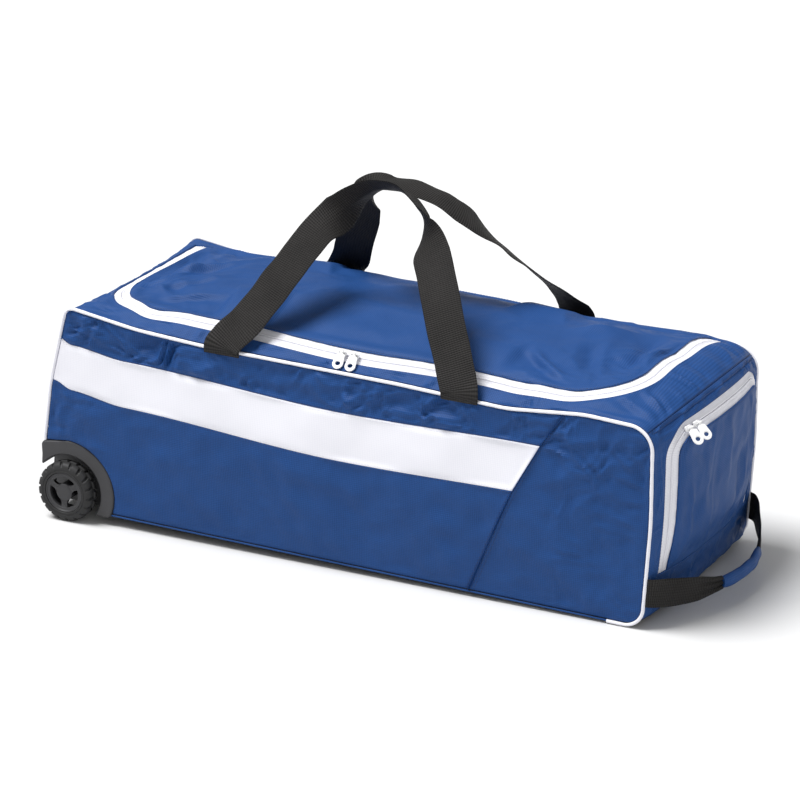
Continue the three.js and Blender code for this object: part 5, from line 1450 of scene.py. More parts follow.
pocket_line, pocket_out, pocket_corner = zip_line(
    -POCKET_HALF_WIDTH, POCKET_HALF_WIDTH, pocket_front, POCKET_SEAM_DROP, POCKET_CORNER, 2.5
)
END_REACH = HALF_WIDTH - SEAM_INSET
build_opening(
    ("end_pocket_panel", "pocket_zip_tape_inner", "pocket_zip_tape_outer", "handle_end_panel"),
    end_point,
    pocket_line,
    pocket_out,
    pocket_corner,
    POCKET_SEAM_DROP,
    (-END_REACH, END_REACH, GAP / 2, END_LENGTH - GAP / 2),
    pocket_height,
    end_height,
)

lap_line = np.stack([np.linspace(-END_REACH + 6.0, END_REACH - 6.0, 200), np.full(200, 7.0)], axis=-1)
sew_along(end_point, lap_line, 0.3, blue_rows)

# %% [markdown]
# ## Base and wheeled end
# The base is a coarser black cloth, carried a little way up the wheeled end, with its corners cut out
# for the wheel housings. The grid simply leaves those cells out.

# %% Base and wheeled end
HOUSING_DEPTH = 36.0


def end_flat_height(distance, y):
    """Slight swells of the base and the wheeled end."""
    return 0.5 * swells(distance, y, 110.0, 61)


def wheel_end_height(distance, y):
    """Folds of the blue cloth above the wheels."""
    crushed = 0.7 * patchy(distance, y, 110.0, 63) * crumpled(distance, y, 66.0, 64)
    return 0.6 * swells(distance, y, 110.0, 61) + crushed


def build_base():
    """The black base with its corners cut out, and the blue cloth above it at the wheels."""
    reach = HALF_WIDTH - SEAM_INSET
    notch = HALF_WIDTH - HOUSING_DEPTH - GAP
    inner = np.linspace(-notch, notch, 40)
    outer_stops = (reach - notch) * stops_for(reach - notch, 5.0, EDGE_STOPS[:5])
    across = np.concatenate([-reach + outer_stops[:-1], inner, notch + outer_stops[1:]])
    boot_top = outline_where("left", 1, BOOT_HEIGHT) + TOTAL
    notch_z = guard_line_z(END_AT_GUARD + 4.0) + 2 * GAP
    notch_top = outline_where("left", 1, notch_z) + TOTAL
    notch_foot = outline_where("base", 0, HOUSING_RIGHT_X + GAP)
    floor = np.linspace(BENDS[BASE_RIGHT] + GAP / 2, notch_foot, 110)
    hidden = np.linspace(notch_foot, notch_top, 30)[1:]
    boot = np.linspace(notch_top, boot_top - GAP / 2, 12)[1:]
    stops = np.concatenate([floor, hidden, boot])
    pattern = np.stack(np.meshgrid(stops, across, indexing="ij"), axis=-1)
    keep = np.ones(pattern.shape[:2], bool)
    cut = (stops[:-1] >= notch_foot - 0.01) & (stops[:-1] < notch_top - 0.01)
    side = np.abs((across[:-1] + across[1:]) / 2) > notch
    keep[:-1, :-1] = ~(cut[:, None] & side[None])
    near = edge_distances(pattern)
    calm = smooth(np.minimum.reduce(near) / 12.0)
    height = end_flat_height(pattern[..., 0], pattern[..., 1]) * calm
    height = height - rolled(near[2]) - rolled(near[3]) - rolled(near[1])
    outer, under, _ = cloth_grid(band_point, pattern, height)
    mesh = shell_mesh("base_panel_cloth", outer, under, pattern, keep=keep)
    add_piece(mesh, black_cloth, "bag", "black_cloth", "base_panel")

    end_top = BENDS[TOP_LEFT] + TOTAL - GAP / 2
    across = -reach + 2 * reach * stops_for(2 * reach, 4.0)
    stops = (boot_top + GAP / 2) + (end_top - boot_top - GAP / 2) * stops_for(end_top - boot_top, 4.0)
    pattern = np.stack(np.meshgrid(stops, across, indexing="ij"), axis=-1)
    panel("wheel_end_panel_cloth", band_point, pattern, wheel_end_height, (), even_slack, 62)


build_base()

# %% [markdown]
# ## Piping
# Piping is a cord wrapped in a strip of cloth, held between the two pieces of a seam. It is a tube
# along the outline whose radius varies a little where the stitches pull it. Under the bag the white
# cord is out of sight behind a narrow blue binding.


# %% Piping
def tube(name, centre, wide, thick, size):
    """A closed tube: a ring of points at each stop, sized by stop and angle, and a fan at each end."""
    sides = size.shape[1]
    angle = np.arange(sides + 1) * 2 * math.pi / sides
    size = np.concatenate([size, size[:, :1]], axis=1)[..., None]
    arms = np.cos(angle)[None, :, None] * wide[:, None] + np.sin(angle)[None, :, None] * thick[:, None]
    ring = centre[:, None] + size * arms
    ends = [np.broadcast_to(centre[k], ring[:1].shape) for k in (0, -1)]
    grid = np.concatenate([ends[0], ring, ends[1]])
    rows, columns = grid.shape[:2]
    walk = walked(centre)
    girth = math.pi * (np.linalg.norm(wide[0]) + np.linalg.norm(thick[0]))
    along, round_it = np.concatenate([walk[:1], walk, walk[-1:]]), np.linspace(0, girth, columns)
    uv = np.stack(np.meshgrid(along, round_it, indexing="ij"), axis=-1).reshape(-1, 2) / 1000.0
    points = in_frame(grid.reshape(-1, 3))
    quads = outward(points, cell_quads(rows, columns))
    print(name, "is", walk[-1].round(), "mm long")
    return new_mesh(name, points, quads.tolist(), CLOTH_SHARP, uv, quads)


def build_piping():
    """The corded edge of each long side, from the housing's top corner round to its foot."""
    start = outline_where("left", 1, guard_line_z(END_AT_GUARD + PIPING_RADIUS) + 3 * GAP)
    end = outline_where("base", 0, HOUSING_RIGHT_X + 2 * GAP)
    turn = BENDS[BASE_RIGHT] + 45.0
    for name, side in (("front_piping", -1.0), ("back_piping", 1.0)):
        for part, material, slot, low, high, radius in (
            ("cord", white_cloth, "white_cloth", start, turn, PIPING_RADIUS),
            ("binding", blue_cloth, "blue_cloth", turn, end, PIPING_RADIUS / 2),
        ):
            s = np.linspace(low, high, int((high - low) / 3.0))
            x, z, out_x, out_z = on_outline(s)
            deep = PIPING_RADIUS - radius
            y = np.full(len(s), side * (HALF_WIDTH + 0.4 * deep))
            centre = np.stack([x - out_x * deep, y, z - out_z * deep], axis=-1)
            wide = np.stack([out_x, 0 * s, out_z], axis=-1) * radius
            thick = np.broadcast_to((0.0, radius, 0.0), centre.shape)
            size = 1.0 + 0.03 * swells(s[:, None], np.zeros((1, 12)), 18.0, 71)
            mesh = tube(f"{name}_{part}", centre, wide, thick, size)
            add_piece(mesh, material, "bag", slot, name)


build_piping()

# %% [markdown]
# ## Webbing
# The carry straps and the handle's tabs are strips of ribbed webbing. Each follows a smooth line
# through a few chosen points, and turns about that line the way the photograph shows, so the middle
# of the long strap lies flat over the hand. A centripetal spline keeps the bends free of loops.


# %% Splines and strips
def centripetal(points, places):
    """Points and tangents on a centripetal Catmull-Rom spline, at places from 0 to the last knot."""
    points = np.asarray(points, float)
    padded = np.vstack([2 * points[0] - points[1], points, 2 * points[-1] - points[-2]])
    k = np.clip(np.floor(places).astype(int), 0, len(points) - 2)
    t = (places - k)[:, None]
    p0, p1, p2, p3 = (padded[k + shift] for shift in range(4))
    d0, d1, d2 = (np.sqrt(np.linalg.norm(b - a, axis=1))[:, None] for a, b in ((p0, p1), (p1, p2), (p2, p3)))
    t1 = ((p1 - p0) / d0 - (p2 - p0) / (d0 + d1) + (p2 - p1) / d1) * d1
    t2 = ((p2 - p1) / d1 - (p3 - p1) / (d1 + d2) + (p3 - p2) / d2) * d1
    c2 = -3 * p1 + 3 * p2 - 2 * t1 - t2
    c3 = 2 * p1 - 2 * p2 + t1 + t2
    return p1 + t1 * t + c2 * t**2 + c3 * t**3, unit(t1 + 2 * c2 * t + 3 * c3 * t**2)


def strip(points, wides, steps):
    """Stations along a strip: centre, half-width vector square to the line, and the direction through it."""
    places = np.linspace(0, len(points) - 1, steps)
    centre, heading = centripetal(points, places)
    knots = np.arange(len(wides))
    wide = np.stack([np.interp(places, knots, wides[:, k]) for k in range(3)], axis=-1)
    size = np.linalg.norm(wide, axis=1, keepdims=True)
    wide = wide - np.sum(wide * heading, axis=1, keepdims=True) * heading
    wide = unit(wide) * size
    return centre, wide, unit(np.cross(heading, wide))


def strip_mesh(name, centre, wide, through, thickness, lift, columns, ripple, seed):
    """A webbing strip with rounded edges. lift gives how far each point across stands off, by share."""
    share = np.sin(np.linspace(-1, 1, columns) * math.pi / 2)
    walk = walked(centre)
    width = np.linalg.norm(wide, axis=1)
    print(name, "is", walk[-1].round(), "mm long and", (2 * width.max()).round(1), "mm wide")
    off = lift(walk[:, None] / walk[-1], share[None])
    off = off + ripple * swells(walk[:, None], 30.0 * share[None], 60.0, seed) * np.abs(share[None]) ** 2
    middle = centre[:, None] + wide[:, None] * share[None, :, None] + through[:, None] * off[..., None]
    along = unit(np.gradient(middle, axis=0))
    across = unit(np.gradient(middle, axis=1))
    normal = unit(np.cross(along, across))
    half = thickness / 2 * np.sqrt(np.maximum(1 - np.abs(share) ** 14, 0.0))
    outer = middle + normal * half[None, :, None]
    inner = middle - normal * half[None, :, None]
    uv = np.stack([np.broadcast_to(walk[:, None], off.shape), width[:, None] * share[None]], axis=-1)
    return shell_mesh(name, outer, inner, uv)


# %% Carry straps
STRAP_THICKNESS = 1.8
STRAP_RISE = 214.0
# share of half the spread, of half the width, of the rise; plan angle and slope of the width in degrees
FRONT_STRAP_ROWS = np.array(
    [
        (-1.0, -1.0, -0.024, 0, 0),
        (-1.0, -1.0, 0.03, 0, 0),
        (-0.96, -0.985, 0.09, 0, 0),
        (-0.86, -0.904, 0.187, 0, 0),
        (-0.684, -0.633, 0.463, 0, 0),
        (-0.54, -0.311, 0.715, 4, 0),
        (-0.425, -0.2, 0.81, 26, -6),
        (-0.31, -0.13, 0.915, 66, -22),
        (-0.158, -0.1, 0.995, 86, -30),
        (0.003, -0.107, 1.01, 90, -30),
        (0.136, -0.13, 0.98, 92, -26),
        (0.262, -0.18, 0.905, 104, -16),
        (0.34, -0.254, 0.81, 138, -4),
        (0.458, -0.407, 0.7, 168, 0),
        (0.635, -0.633, 0.54, 178, 0),
        (0.778, -0.802, 0.365, 180, 0),
        (0.93, -0.95, 0.155, 180, 0),
        (1.0, -1.0, 0.03, 180, 0),
        (1.0, -1.0, -0.035, 180, 0),
    ]
)
REAR_STRAP_ROWS = np.array(
    [
        (-1.0, 1.0, -0.024, 0, 0),
        (-1.0, 1.0, 0.03, 0, 0),
        (-0.95, 0.93, 0.09, 0, 0),
        (-0.85, 0.78, 0.17, 0, 0),
        (-0.745, 0.63, 0.265, 0, 0),
        (-0.63, 0.47, 0.44, 0, 0),
        (-0.505, 0.35, 0.66, -4, 0),
        (-0.425, 0.27, 0.82, -22, 0),
        (-0.28, 0.21, 0.93, -64, 0),
        (-0.1, 0.205, 0.955, -86, 0),
        (0.06, 0.205, 0.94, -90, 0),
        (0.235, 0.21, 0.9, -90, 0),
        (0.38, 0.24, 0.83, -88, 0),
        (0.485, 0.3, 0.75, -75, 0),
        (0.61, 0.44, 0.6, -50, 0),
        (0.84, 0.69, 0.35, -38, 0),
        (0.975, 0.85, 0.205, -22, 0),
        (1.02, 0.95, 0.11, -5, 0),
        (1.03, 1.0, 0.03, 0, 0),
        (1.03, 1.0, -0.035, 0, 0),
    ]
)


def strap_knots(rows, side):
    """Knot points and half-width vectors from the shares in a strap's rows."""
    x, y, z, turn, tip = rows.T
    turn, tip = np.radians(turn), np.radians(tip)
    foot_y = HALF_WIDTH + PIPING_RADIUS + GAP + STRAP_THICKNESS / 2
    seam_z = on_outline(outline_where("top", 0, STRAP_SHIFT))[1]
    wide = np.stack([np.cos(turn) * np.cos(tip), np.sin(turn) * np.cos(tip), np.sin(tip)], axis=-1)
    place_y = np.where(np.abs(y) == 1.0, side * foot_y, y * HALF_WIDTH)
    points = np.stack([STRAP_SHIFT + x * STRAP_SPREAD / 2, place_y, seam_z + z * STRAP_RISE], axis=-1)
    return points, wide * STRAP_WIDTH / 2


def front_strap_lift(share, across):
    """The front strap is pinched lengthwise where a hand has held it, at the top of its loop."""
    pinch = np.exp(-(((share - 0.42) / 0.07) ** 2))
    bow = 2.5 * np.exp(-(((share - 0.5) / 0.25) ** 2))
    return pinch * 6.0 * (np.abs(across) - 0.5) + bow * (across**2 - 0.3)


def rear_strap_lift(share, across):
    """The rear strap bows only a little across its width."""
    return 2.0 * np.exp(-(((share - 0.5) / 0.25) ** 2)) * (across**2 - 0.3)


for strap_name, strap_rows, strap_side, strap_lift in (
    ("front_carry_strap", FRONT_STRAP_ROWS, -1.0, front_strap_lift),
    ("rear_carry_strap", REAR_STRAP_ROWS, 1.0, rear_strap_lift),
):
    strap_points, strap_wides = strap_knots(strap_rows, strap_side)
    stations = strip(strap_points, strap_wides, 350)
    strap_mesh = strip_mesh(strap_name + "_webbing", *stations, STRAP_THICKNESS, strap_lift, 23, 0.7, 81)
    add_piece(strap_mesh, webbing, "bag", "webbing", strap_name)

# %% [markdown]
# ## End handle
# Two webbing tabs are sewn into the side seams and narrow towards the middle, where a piece of the
# blue cloth is rolled round them as a soft grip.

# %% End handle
TAB_WIDTH = 41.0
HANDLE_REACH = 66.0
HANDLE_HEIGHT = 54.0
GRIP_HEIGHT = 19.0
GRIP_THICKNESS = 12.0
HANDLE_ROWS = np.array(
    [
        (0.0, 1.0, 1.0, 1.0),
        (0.13, 0.97, 0.99, 1.0),
        (0.46, 0.76, 0.87, 0.97),
        (0.69, 0.58, 0.78, 0.85),
        (0.85, 0.43, 0.73, 0.6),
        (0.91, 0.35, 0.72, 0.48),
    ]
)


def handle_knots(side):
    """Knots of one tab, from its seam to the grip."""
    x, _, out_x, out_z = on_outline(outline_where("right", 1, HANDLE_HEIGHT))
    reach, y, height, width = HANDLE_ROWS.T
    start = x + PIPING_RADIUS + 2 * GAP
    points = np.stack([start + reach * HANDLE_REACH, side * y * HALF_WIDTH, height * HANDLE_HEIGHT], axis=-1)
    upright = np.array([-out_z, 0.0, out_x])
    wide = upright[None] * (1 - reach[:, None]) + np.array([[0.0, 0.0, 1.0]]) * reach[:, None]
    return points, unit(wide) * (width * TAB_WIDTH / 2)[:, None]


def tab_lift(share, across):
    """The tab gathers into small lengthwise folds as it narrows into the grip."""
    return 1.6 * smooth((share - 0.45) / 0.5) * np.cos(across * math.pi * 3.0)


def build_handle():
    """The two tabs and the grip between them."""
    for name, side in (("end_handle_front_tab", -1.0), ("end_handle_rear_tab", 1.0)):
        points, wides = handle_knots(side)
        mesh = strip_mesh(name + "_webbing", *strip(points, wides, 110), 1.8, tab_lift, 25, 0.5, 83)
        add_piece(mesh, webbing, "bag", "webbing", name)
    points, _ = handle_knots(1.0)
    before, last = points[-2], points[-1]
    slope = (last[0] - before[0]) / (before[1] - last[1])
    half = last[1] - GAP - STRAP_THICKNESS / 2 * slope
    share = np.linspace(-1, 1, 150)
    x = last[0] + half * slope * 0.5 * (1 - share**2)
    centre = np.stack([x, share * half, last[2] - 1.0 * (1 - share**2)], axis=-1)
    centre[:, 0] += 0.5 * swells(centre[:, 1], 0 * share, 50.0, 91)
    heading = unit(np.gradient(centre, axis=0))
    wide = np.broadcast_to((0.0, 0.0, 1.0), centre.shape)
    through = unit(np.cross(heading, wide))
    sides = 40
    angle = np.arange(sides) * 2 * math.pi / sides
    pinch = 1.0 - 0.16 * np.abs(share[:, None]) ** 10
    folds = 0.035 * swells(centre[:, 1:2], 9.0 * angle[None], 26.0, 92)
    groove = -0.12 * np.exp(-(((angle[None] - 2.4) / 0.12) ** 2))
    size = pinch + folds + groove
    thick = through * GRIP_THICKNESS / 2
    mesh = tube("end_handle_grip_cloth", centre, thick, wide * GRIP_HEIGHT / 2, size)
    grip = add_piece(mesh, blue_cloth, "bag", "blue_cloth", "end_handle_grip")


build_handle()

# %% [markdown]
# ## Wheels and housings
# The hard parts are moulded, so every edge is rounded: a slab is a stack of outlines that starts a
# little inside its edge, widens round a quarter circle, runs straight and closes the same way. Turned
# parts are a profile carried round an axle.


# %% Moulded slabs and turned rings
def even_loop(outline, step):
    """A closed line resampled at even steps."""
    closed = np.vstack([outline, outline[:1]])
    count = max(24, int(walked(closed)[-1] / step))
    return resample(closed, np.linspace(0, 1, count, endpoint=False))


def soften(outline, radius, step=0.5):
    """Rounds a closed line's corners by averaging each point with its neighbours along the line."""
    loop = even_loop(outline, step)
    window = max(3, int(2 * radius / step)) | 1
    half = window // 2
    padded = np.vstack([loop[-half:], loop, loop[:half]])
    weights = np.hanning(window + 2)[1:-1]
    weights = weights / weights.sum()
    return np.stack([np.convolve(padded[:, k], weights, mode="valid") for k in (0, 1)], axis=-1)


def slab_parts(outline, low, high, edge, rings):
    """Points and faces of a slab in x, z and depth, with rounded rims and an n-sided face at each end."""
    ahead = np.roll(outline, -1, axis=0) - np.roll(outline, 1, axis=0)
    (x, z), (next_x, next_z) = outline.T, np.roll(outline, -1, axis=0).T
    area = np.sum(x * next_z - next_x * z)
    normal = unit(np.stack([ahead[:, 1], -ahead[:, 0]], axis=-1)) * np.sign(area)
    angle = np.linspace(0, math.pi / 2, rings)
    inset_by = edge * (1 - np.sin(angle))
    depth = edge * (1 - np.cos(angle))
    levels = np.concatenate([low + depth, (high - depth)[::-1]])
    insets = np.concatenate([inset_by, inset_by[::-1]])
    layers = outline[None] - normal[None] * insets[:, None, None]
    y = np.broadcast_to(levels[:, None], layers.shape[:2])
    points = np.stack([layers[..., 0], y, layers[..., 1]], axis=-1)
    count = len(outline)
    quads = cell_quads(len(levels), count, round_columns=True)
    if area < 0:
        quads = quads[:, ::-1]
    first = list(range(count))
    last = list(range((len(levels) - 1) * count, len(levels) * count))
    caps = [first if area > 0 else first[::-1], last[::-1] if area > 0 else last]
    return points.reshape(-1, 3), [*quads.tolist(), *caps]


def turned_parts(profile, segments):
    """Points and faces of a closed profile (radius, depth) carried round the y axis."""
    angle = np.arange(segments) * 2 * math.pi / segments
    radius, depth = np.asarray(profile, float).T
    points = np.stack(
        [
            np.cos(angle)[:, None] * radius[None],
            np.broadcast_to(depth[None], (segments, len(depth))),
            np.sin(angle)[:, None] * radius[None],
        ],
        axis=-1,
    )
    return points.reshape(-1, 3), cell_quads(segments, len(depth), True, True).tolist()


def band_parts(inner, outer, low, high, edge, corner):
    """Points and faces of a slab between two lines, its low face rounded down to all four rims."""
    stops = np.array([0.0, 0.06, 0.2, 0.45, 0.75, 1.0]) * edge
    u = stops_for(walked(outer)[-1], 1.6, np.concatenate([stops, [corner]]))
    inner, outer = resample(inner, u), resample(outer, u)
    ends = np.minimum(walked(outer), walked(outer)[-1] - walked(outer))
    width = np.linalg.norm(outer - inner, axis=1)
    pull = (rolled(ends, corner, corner) / width)[:, None]
    inner, outer = inner + (outer - inner) * pull, outer + (inner - outer) * pull
    v = stops_for(float(width.mean()), 2.0, stops)
    flat = inner[:, None] + (outer - inner)[:, None] * v[None, :, None]
    height = low + rolled(np.minimum.reduce(edge_distances(flat)), edge, edge)
    face = np.stack([flat[..., 0], height, flat[..., 1]], axis=-1)
    back = np.stack([flat[..., 0], np.full(height.shape, high), flat[..., 1]], axis=-1)
    points = np.concatenate([face, face[:1], back, back[:1]]).reshape(-1, 3)
    return points, outward(points, grid_quads(*flat.shape[:2], False)).tolist()


def joined_mesh(name, parts, mirror, place=None):
    """Several closed bodies in one mesh. place carries them into the bag's frame."""
    points, faces, count = [], [], 0
    for part_points, part_faces in parts:
        points.append(part_points)
        faces += [[index + count for index in face] for face in part_faces]
        count += len(part_points)
    points = np.concatenate(points)
    if place is not None:
        points = place(points)
    if mirror:
        points = points * (1.0, -1.0, 1.0)
    return new_mesh(name, in_frame(points), faces, MOULDED_SHARP)


# %% Wheel housings
TYRE_OUT = 17.0
AXLE_SHORT = 4.0
HOUSING_PROUD = 3.0
PLATE_THICKNESS = 3.0


def build_housing(name, mirror):
    """A thick arch over the wheel, a back plate behind it and the axle's boss."""
    floor = GAP
    face = -HALF_WIDTH - HOUSING_PROUD
    back = -HALF_WIDTH + HOUSING_DEPTH
    left = HUB_X - GUARD_LEFT_X
    outer_floor = math.acos((HUB_Z - floor) / GUARD_RADIUS)
    inner_floor = math.acos((HUB_Z - floor) / ARCH_RADIUS)
    inner_left = math.acos(min(1.0, left / ARCH_RADIUS))
    outer = np.linspace(outer_floor - math.pi / 2, math.pi / 2, 60)
    inner = np.linspace(inner_floor - math.pi / 2, math.pi - inner_left, 90)
    hub = np.array([HUB_X, HUB_Z])
    outer_line = hub + GUARD_RADIUS * np.stack([np.cos(outer), np.sin(outer)], axis=-1)
    outer_line = np.vstack([outer_line, [(GUARD_LEFT_X, GUARD_LEFT_Z)]])
    inner_line = hub + ARCH_RADIUS * np.stack([np.cos(inner), np.sin(inner)], axis=-1)
    arch = band_parts(inner_line, outer_line, face, back, 2.6, 4.5)
    plate_radius = (ARCH_RADIUS + GUARD_RADIUS) / 2
    plate_floor = math.acos((HUB_Z - floor) / plate_radius)
    plate_left = math.acos(min(1.0, left / plate_radius))
    angle = np.linspace(plate_floor - math.pi / 2, math.pi - plate_left, 60)
    plate = hub + plate_radius * np.stack([np.cos(angle), np.sin(angle)], axis=-1)
    plate = np.vstack([plate, [(GUARD_LEFT_X, floor)]])
    wall = slab_parts(soften(plate, 2.0), back - PLATE_THICKNESS, back, 0.6, 3)
    end = -HALF_WIDTH - TYRE_OUT + AXLE_SHORT
    profile = [(0, end), (4.4, end), (5.0, end + 0.6), (5.0, back - 6)]
    profile += [(11.0, back - 3), (11.0, back - 1), (0, back - 1)]
    axle_points, axle_faces = turned_parts(profile, 32)
    axle = (axle_points + (HUB_X, 0.0, HUB_Z), axle_faces)
    mesh = joined_mesh(name + "_moulding", [arch, wall, axle], mirror)
    add_piece(mesh, grey_plastic, "bag", "grey_plastic", name)


build_housing("front_wheel_housing", False)
build_housing("rear_wheel_housing", True)


# %% Tyres and hubs
LUGS = 18
TREAD_MIDDLE = 13.0


def tyre_parts():
    """A hard tyre with two rows of lugs, set half a step apart, and a groove between the rows."""
    segments = 360
    tread = np.array([8.0, 9.5, 11.0, 12.0, 12.5, 13.5, 14.0, 15.0, 16.5, 18.0])
    profile = np.vstack(
        [
            [(29.5, 0.6), (30.0, 0.0), (32.6, 0.0), (33.0, 0.5), (33.6, 0.5), (34.0, 0.0)],
            [(36.0, 0.1), (37.6, 0.4), (39.0, 0.9), (40.4, 1.7)],
            [(41.6, 2.8), (42.5, 4.2), (43.1, 5.8)],
            np.stack([np.full(len(tread), TYRE_RADIUS), tread], axis=-1),
            [(43.1, 20.2), (42.5, 21.8), (41.6, 23.2), (40.4, 24.3)],
            [(39.0, 25.1), (37.6, 25.6), (36.0, 25.9)],
            [(34.0, 26.0), (30.0, 26.0), (29.5, 25.4)],
        ]
    )
    points, faces = turned_parts(profile, segments)
    grid = points.reshape(segments, len(profile), 3)
    angle = np.arange(segments)[:, None] * 2 * math.pi / segments
    depth = profile[None, :, 1]
    off_middle = np.abs(depth - TREAD_MIDDLE)
    shifted = angle / (2 * math.pi) * LUGS + 0.5 * (depth > TREAD_MIDDLE) + 0.02 * off_middle
    lug = np.abs((shifted + 0.5) % 1.0 - 0.5) * 2
    between_rows = smooth((1.4 - off_middle) / 0.9)
    cut = np.maximum(smooth((0.3 - lug) / 0.1), between_rows)
    deep = 2.6 * cut * smooth((profile[None, :, 0] - 36.5) / 4.0)
    scale = 1.0 - deep / profile[None, :, 0]
    grid[..., 0] *= scale
    grid[..., 2] *= scale
    return grid.reshape(-1, 3), faces


def hub_parts():
    """A rim, three flared spokes and a plain round centre over the axle."""
    rim = [(29.2, 1.4), (28.8, 1.0), (27.6, 1.0), (27.2, 1.5), (26.6, 1.5), (26.2, 1.9), (23.2, 1.9)]
    rim += [(22.7, 2.4), (22.7, 7.0), (26.2, 7.4), (26.2, 24.6), (28.8, 25.0), (29.2, 24.6)]
    boss = [(0, 1.2), (9.0, 1.3), (11.6, 1.6), (12.5, 2.4), (12.5, 24.0)]
    boss += [(5.4, 24.0), (5.4, 5.0), (0, 5.0)]
    parts = [turned_parts(rim, 192), turned_parts(boss, 96)]
    for turn in range(3):
        middle = math.pi / 2 + (turn + 0.5) * 2 * math.pi / 3
        t = np.linspace(0, 1, 24)
        radius = 11.5 + 12.0 * t
        half = 4.4 + 2.4 * (np.abs(2 * t - 1)) ** 3
        side = np.stack([radius, half], axis=-1)
        loop = np.vstack([side, side[::-1] * (1, -1)])
        loop = rotated(loop, math.cos(middle), math.sin(middle))
        parts.append(slab_parts(even_loop(loop, 0.8), 2.1, 6.8, 0.5, 3))
    return parts


def build_wheel(name, mirror):
    """One wheel, on the axle line of its housing."""
    place = np.array([HUB_X, -HALF_WIDTH - TYRE_OUT, HUB_Z])

    def on_axle(points):
        return points + place

    body = name + "_wheel"
    tyre = joined_mesh(name + "_tyre_tread", [tyre_parts()], mirror, on_axle)
    add_piece(tyre, tyre_rubber, body, "tyre_rubber", name + "_tyre")
    hub = joined_mesh(name + "_hub_moulding", hub_parts(), mirror, on_axle)
    add_piece(hub, black_plastic, body, "black_plastic", name + "_hub")


build_wheel("front", False)
build_wheel("rear", True)

# %% [markdown]
# ## Zip sliders and pull tabs
# A slider lies on the two tapes, with the zip along it. Its tab hangs from a bar between two posts and
# has an oval hole with a raised rim. The tab's face is a grid round the hole: each line runs from the
# hole to the edge, and the section across it rises at the rim and rounds off at both ends.


# %% Sliders and tabs
SLIDER_HALF = 1.6
BAR_HEIGHT = 4.8
POST_AT = 4.2


def pull_parts():
    """The tab's plate as a ring round its hole, and the eye round the bar."""
    neck, wide, length = 2.2, 8.0, 26.0
    centre = np.array([0.0, wide - length])
    arc = np.linspace(math.pi, 2 * math.pi, 40)
    bottom = np.stack([wide * np.cos(arc), centre[1] + wide * np.sin(arc)], axis=-1)
    loop = np.vstack(
        [
            [(-neck, 0.0), (-neck, -1.4 * neck), (-0.8 * wide, -2.4 * neck)],
            bottom,
            [(0.8 * wide, -2.4 * neck), (neck, -1.4 * neck), (neck, 0.0)],
        ]
    )
    edge = soften(loop, 1.4, 0.4)
    angle = np.unwrap(np.arctan2(edge[:, 1] - centre[1], edge[:, 0] - centre[0]))
    hole = centre + np.stack([3.75 * np.cos(angle), 3.0 * np.sin(angle)], axis=-1)
    share = np.array([0.0, 0.04, 0.12, 0.22, 0.34, 0.46, 0.6, 0.75, 0.88, 0.96, 1.0])
    half = np.array([0.5, 1.0, 1.35, 1.4, 1.1, 0.95, 0.95, 1.1, 1.1, 0.8, 0.4])
    flat = hole[:, None] + (edge - hole)[:, None] * share[None, :, None]
    top = np.stack([flat[..., 0], flat[..., 1], np.broadcast_to(half, flat.shape[:2])], axis=-1)
    under = top * (1, 1, -1)
    ring = np.concatenate([top, under[:, ::-1]], axis=1)
    quads = cell_quads(*ring.shape[:2], True, True)
    eye = [(1.6, -2.2), (2.15, -2.2), (2.35, -1.9), (2.35, 1.9), (2.15, 2.2), (1.6, 2.2)]
    eye_points, eye_faces = turned_parts(eye, 28)
    return [(ring.reshape(-1, 3), quads.tolist()), (eye_points[:, [1, 0, 2]], eye_faces)]


def slider_parts(lean):
    """A slider: a body with a waist, two posts and the bar between them, which may lean."""
    arc = np.linspace(0, 2 * math.pi, 60, endpoint=False)
    x = 5.5 * np.sign(np.cos(arc)) * np.abs(np.cos(arc)) ** 0.45
    y = 4.0 * np.sign(np.sin(arc)) * np.abs(np.sin(arc)) ** 0.45
    y = y * (1.0 - 0.16 * (1 - np.abs(x) / 5.5) ** 2)
    body, body_faces = slab_parts(np.stack([x, y], axis=-1), -SLIDER_HALF, SLIDER_HALF, 0.7, 4)
    parts = [(body[:, [0, 2, 1]], body_faces)]
    for side in (-1, 1):
        top = BAR_HEIGHT + side * POST_AT * math.tan(lean) + 1.2
        loop = np.array([(-0.9, -1.2), (0.9, -1.2), (0.9, 1.2), (-0.9, 1.2)])
        post, faces = slab_parts(soften(loop, 0.4, 0.15), 0.5, top, 0.4, 3)
        parts.append((post[:, [0, 2, 1]] + (side * POST_AT, 0, 0), faces))
    profile = [(0, -4.4), (0.9, -4.4), (1.15, -4.1), (1.15, 4.1), (0.9, 4.4), (0, 4.4)]
    bar, bar_faces = turned_parts(profile, 24)
    bar = bar[:, [1, 0, 2]] * (1 / math.cos(lean), 1, 1)
    bar_x, bar_z = rotated(bar[:, ::2], math.cos(lean), math.sin(lean)).T
    parts.append((np.stack([bar_x, bar[:, 1], bar_z + BAR_HEIGHT], axis=-1), bar_faces))
    return parts


PULL_ROWS = [
    ("lid_left", "lid", 421.0, 12.0, 0.0),
    ("lid_right", "lid", 440.0, 12.0, 0.0),
    ("pocket_left", "pocket", 17.0, -18.0, 18.0),
    ("pocket_right", "pocket", 36.0, -18.0, 18.0),
]


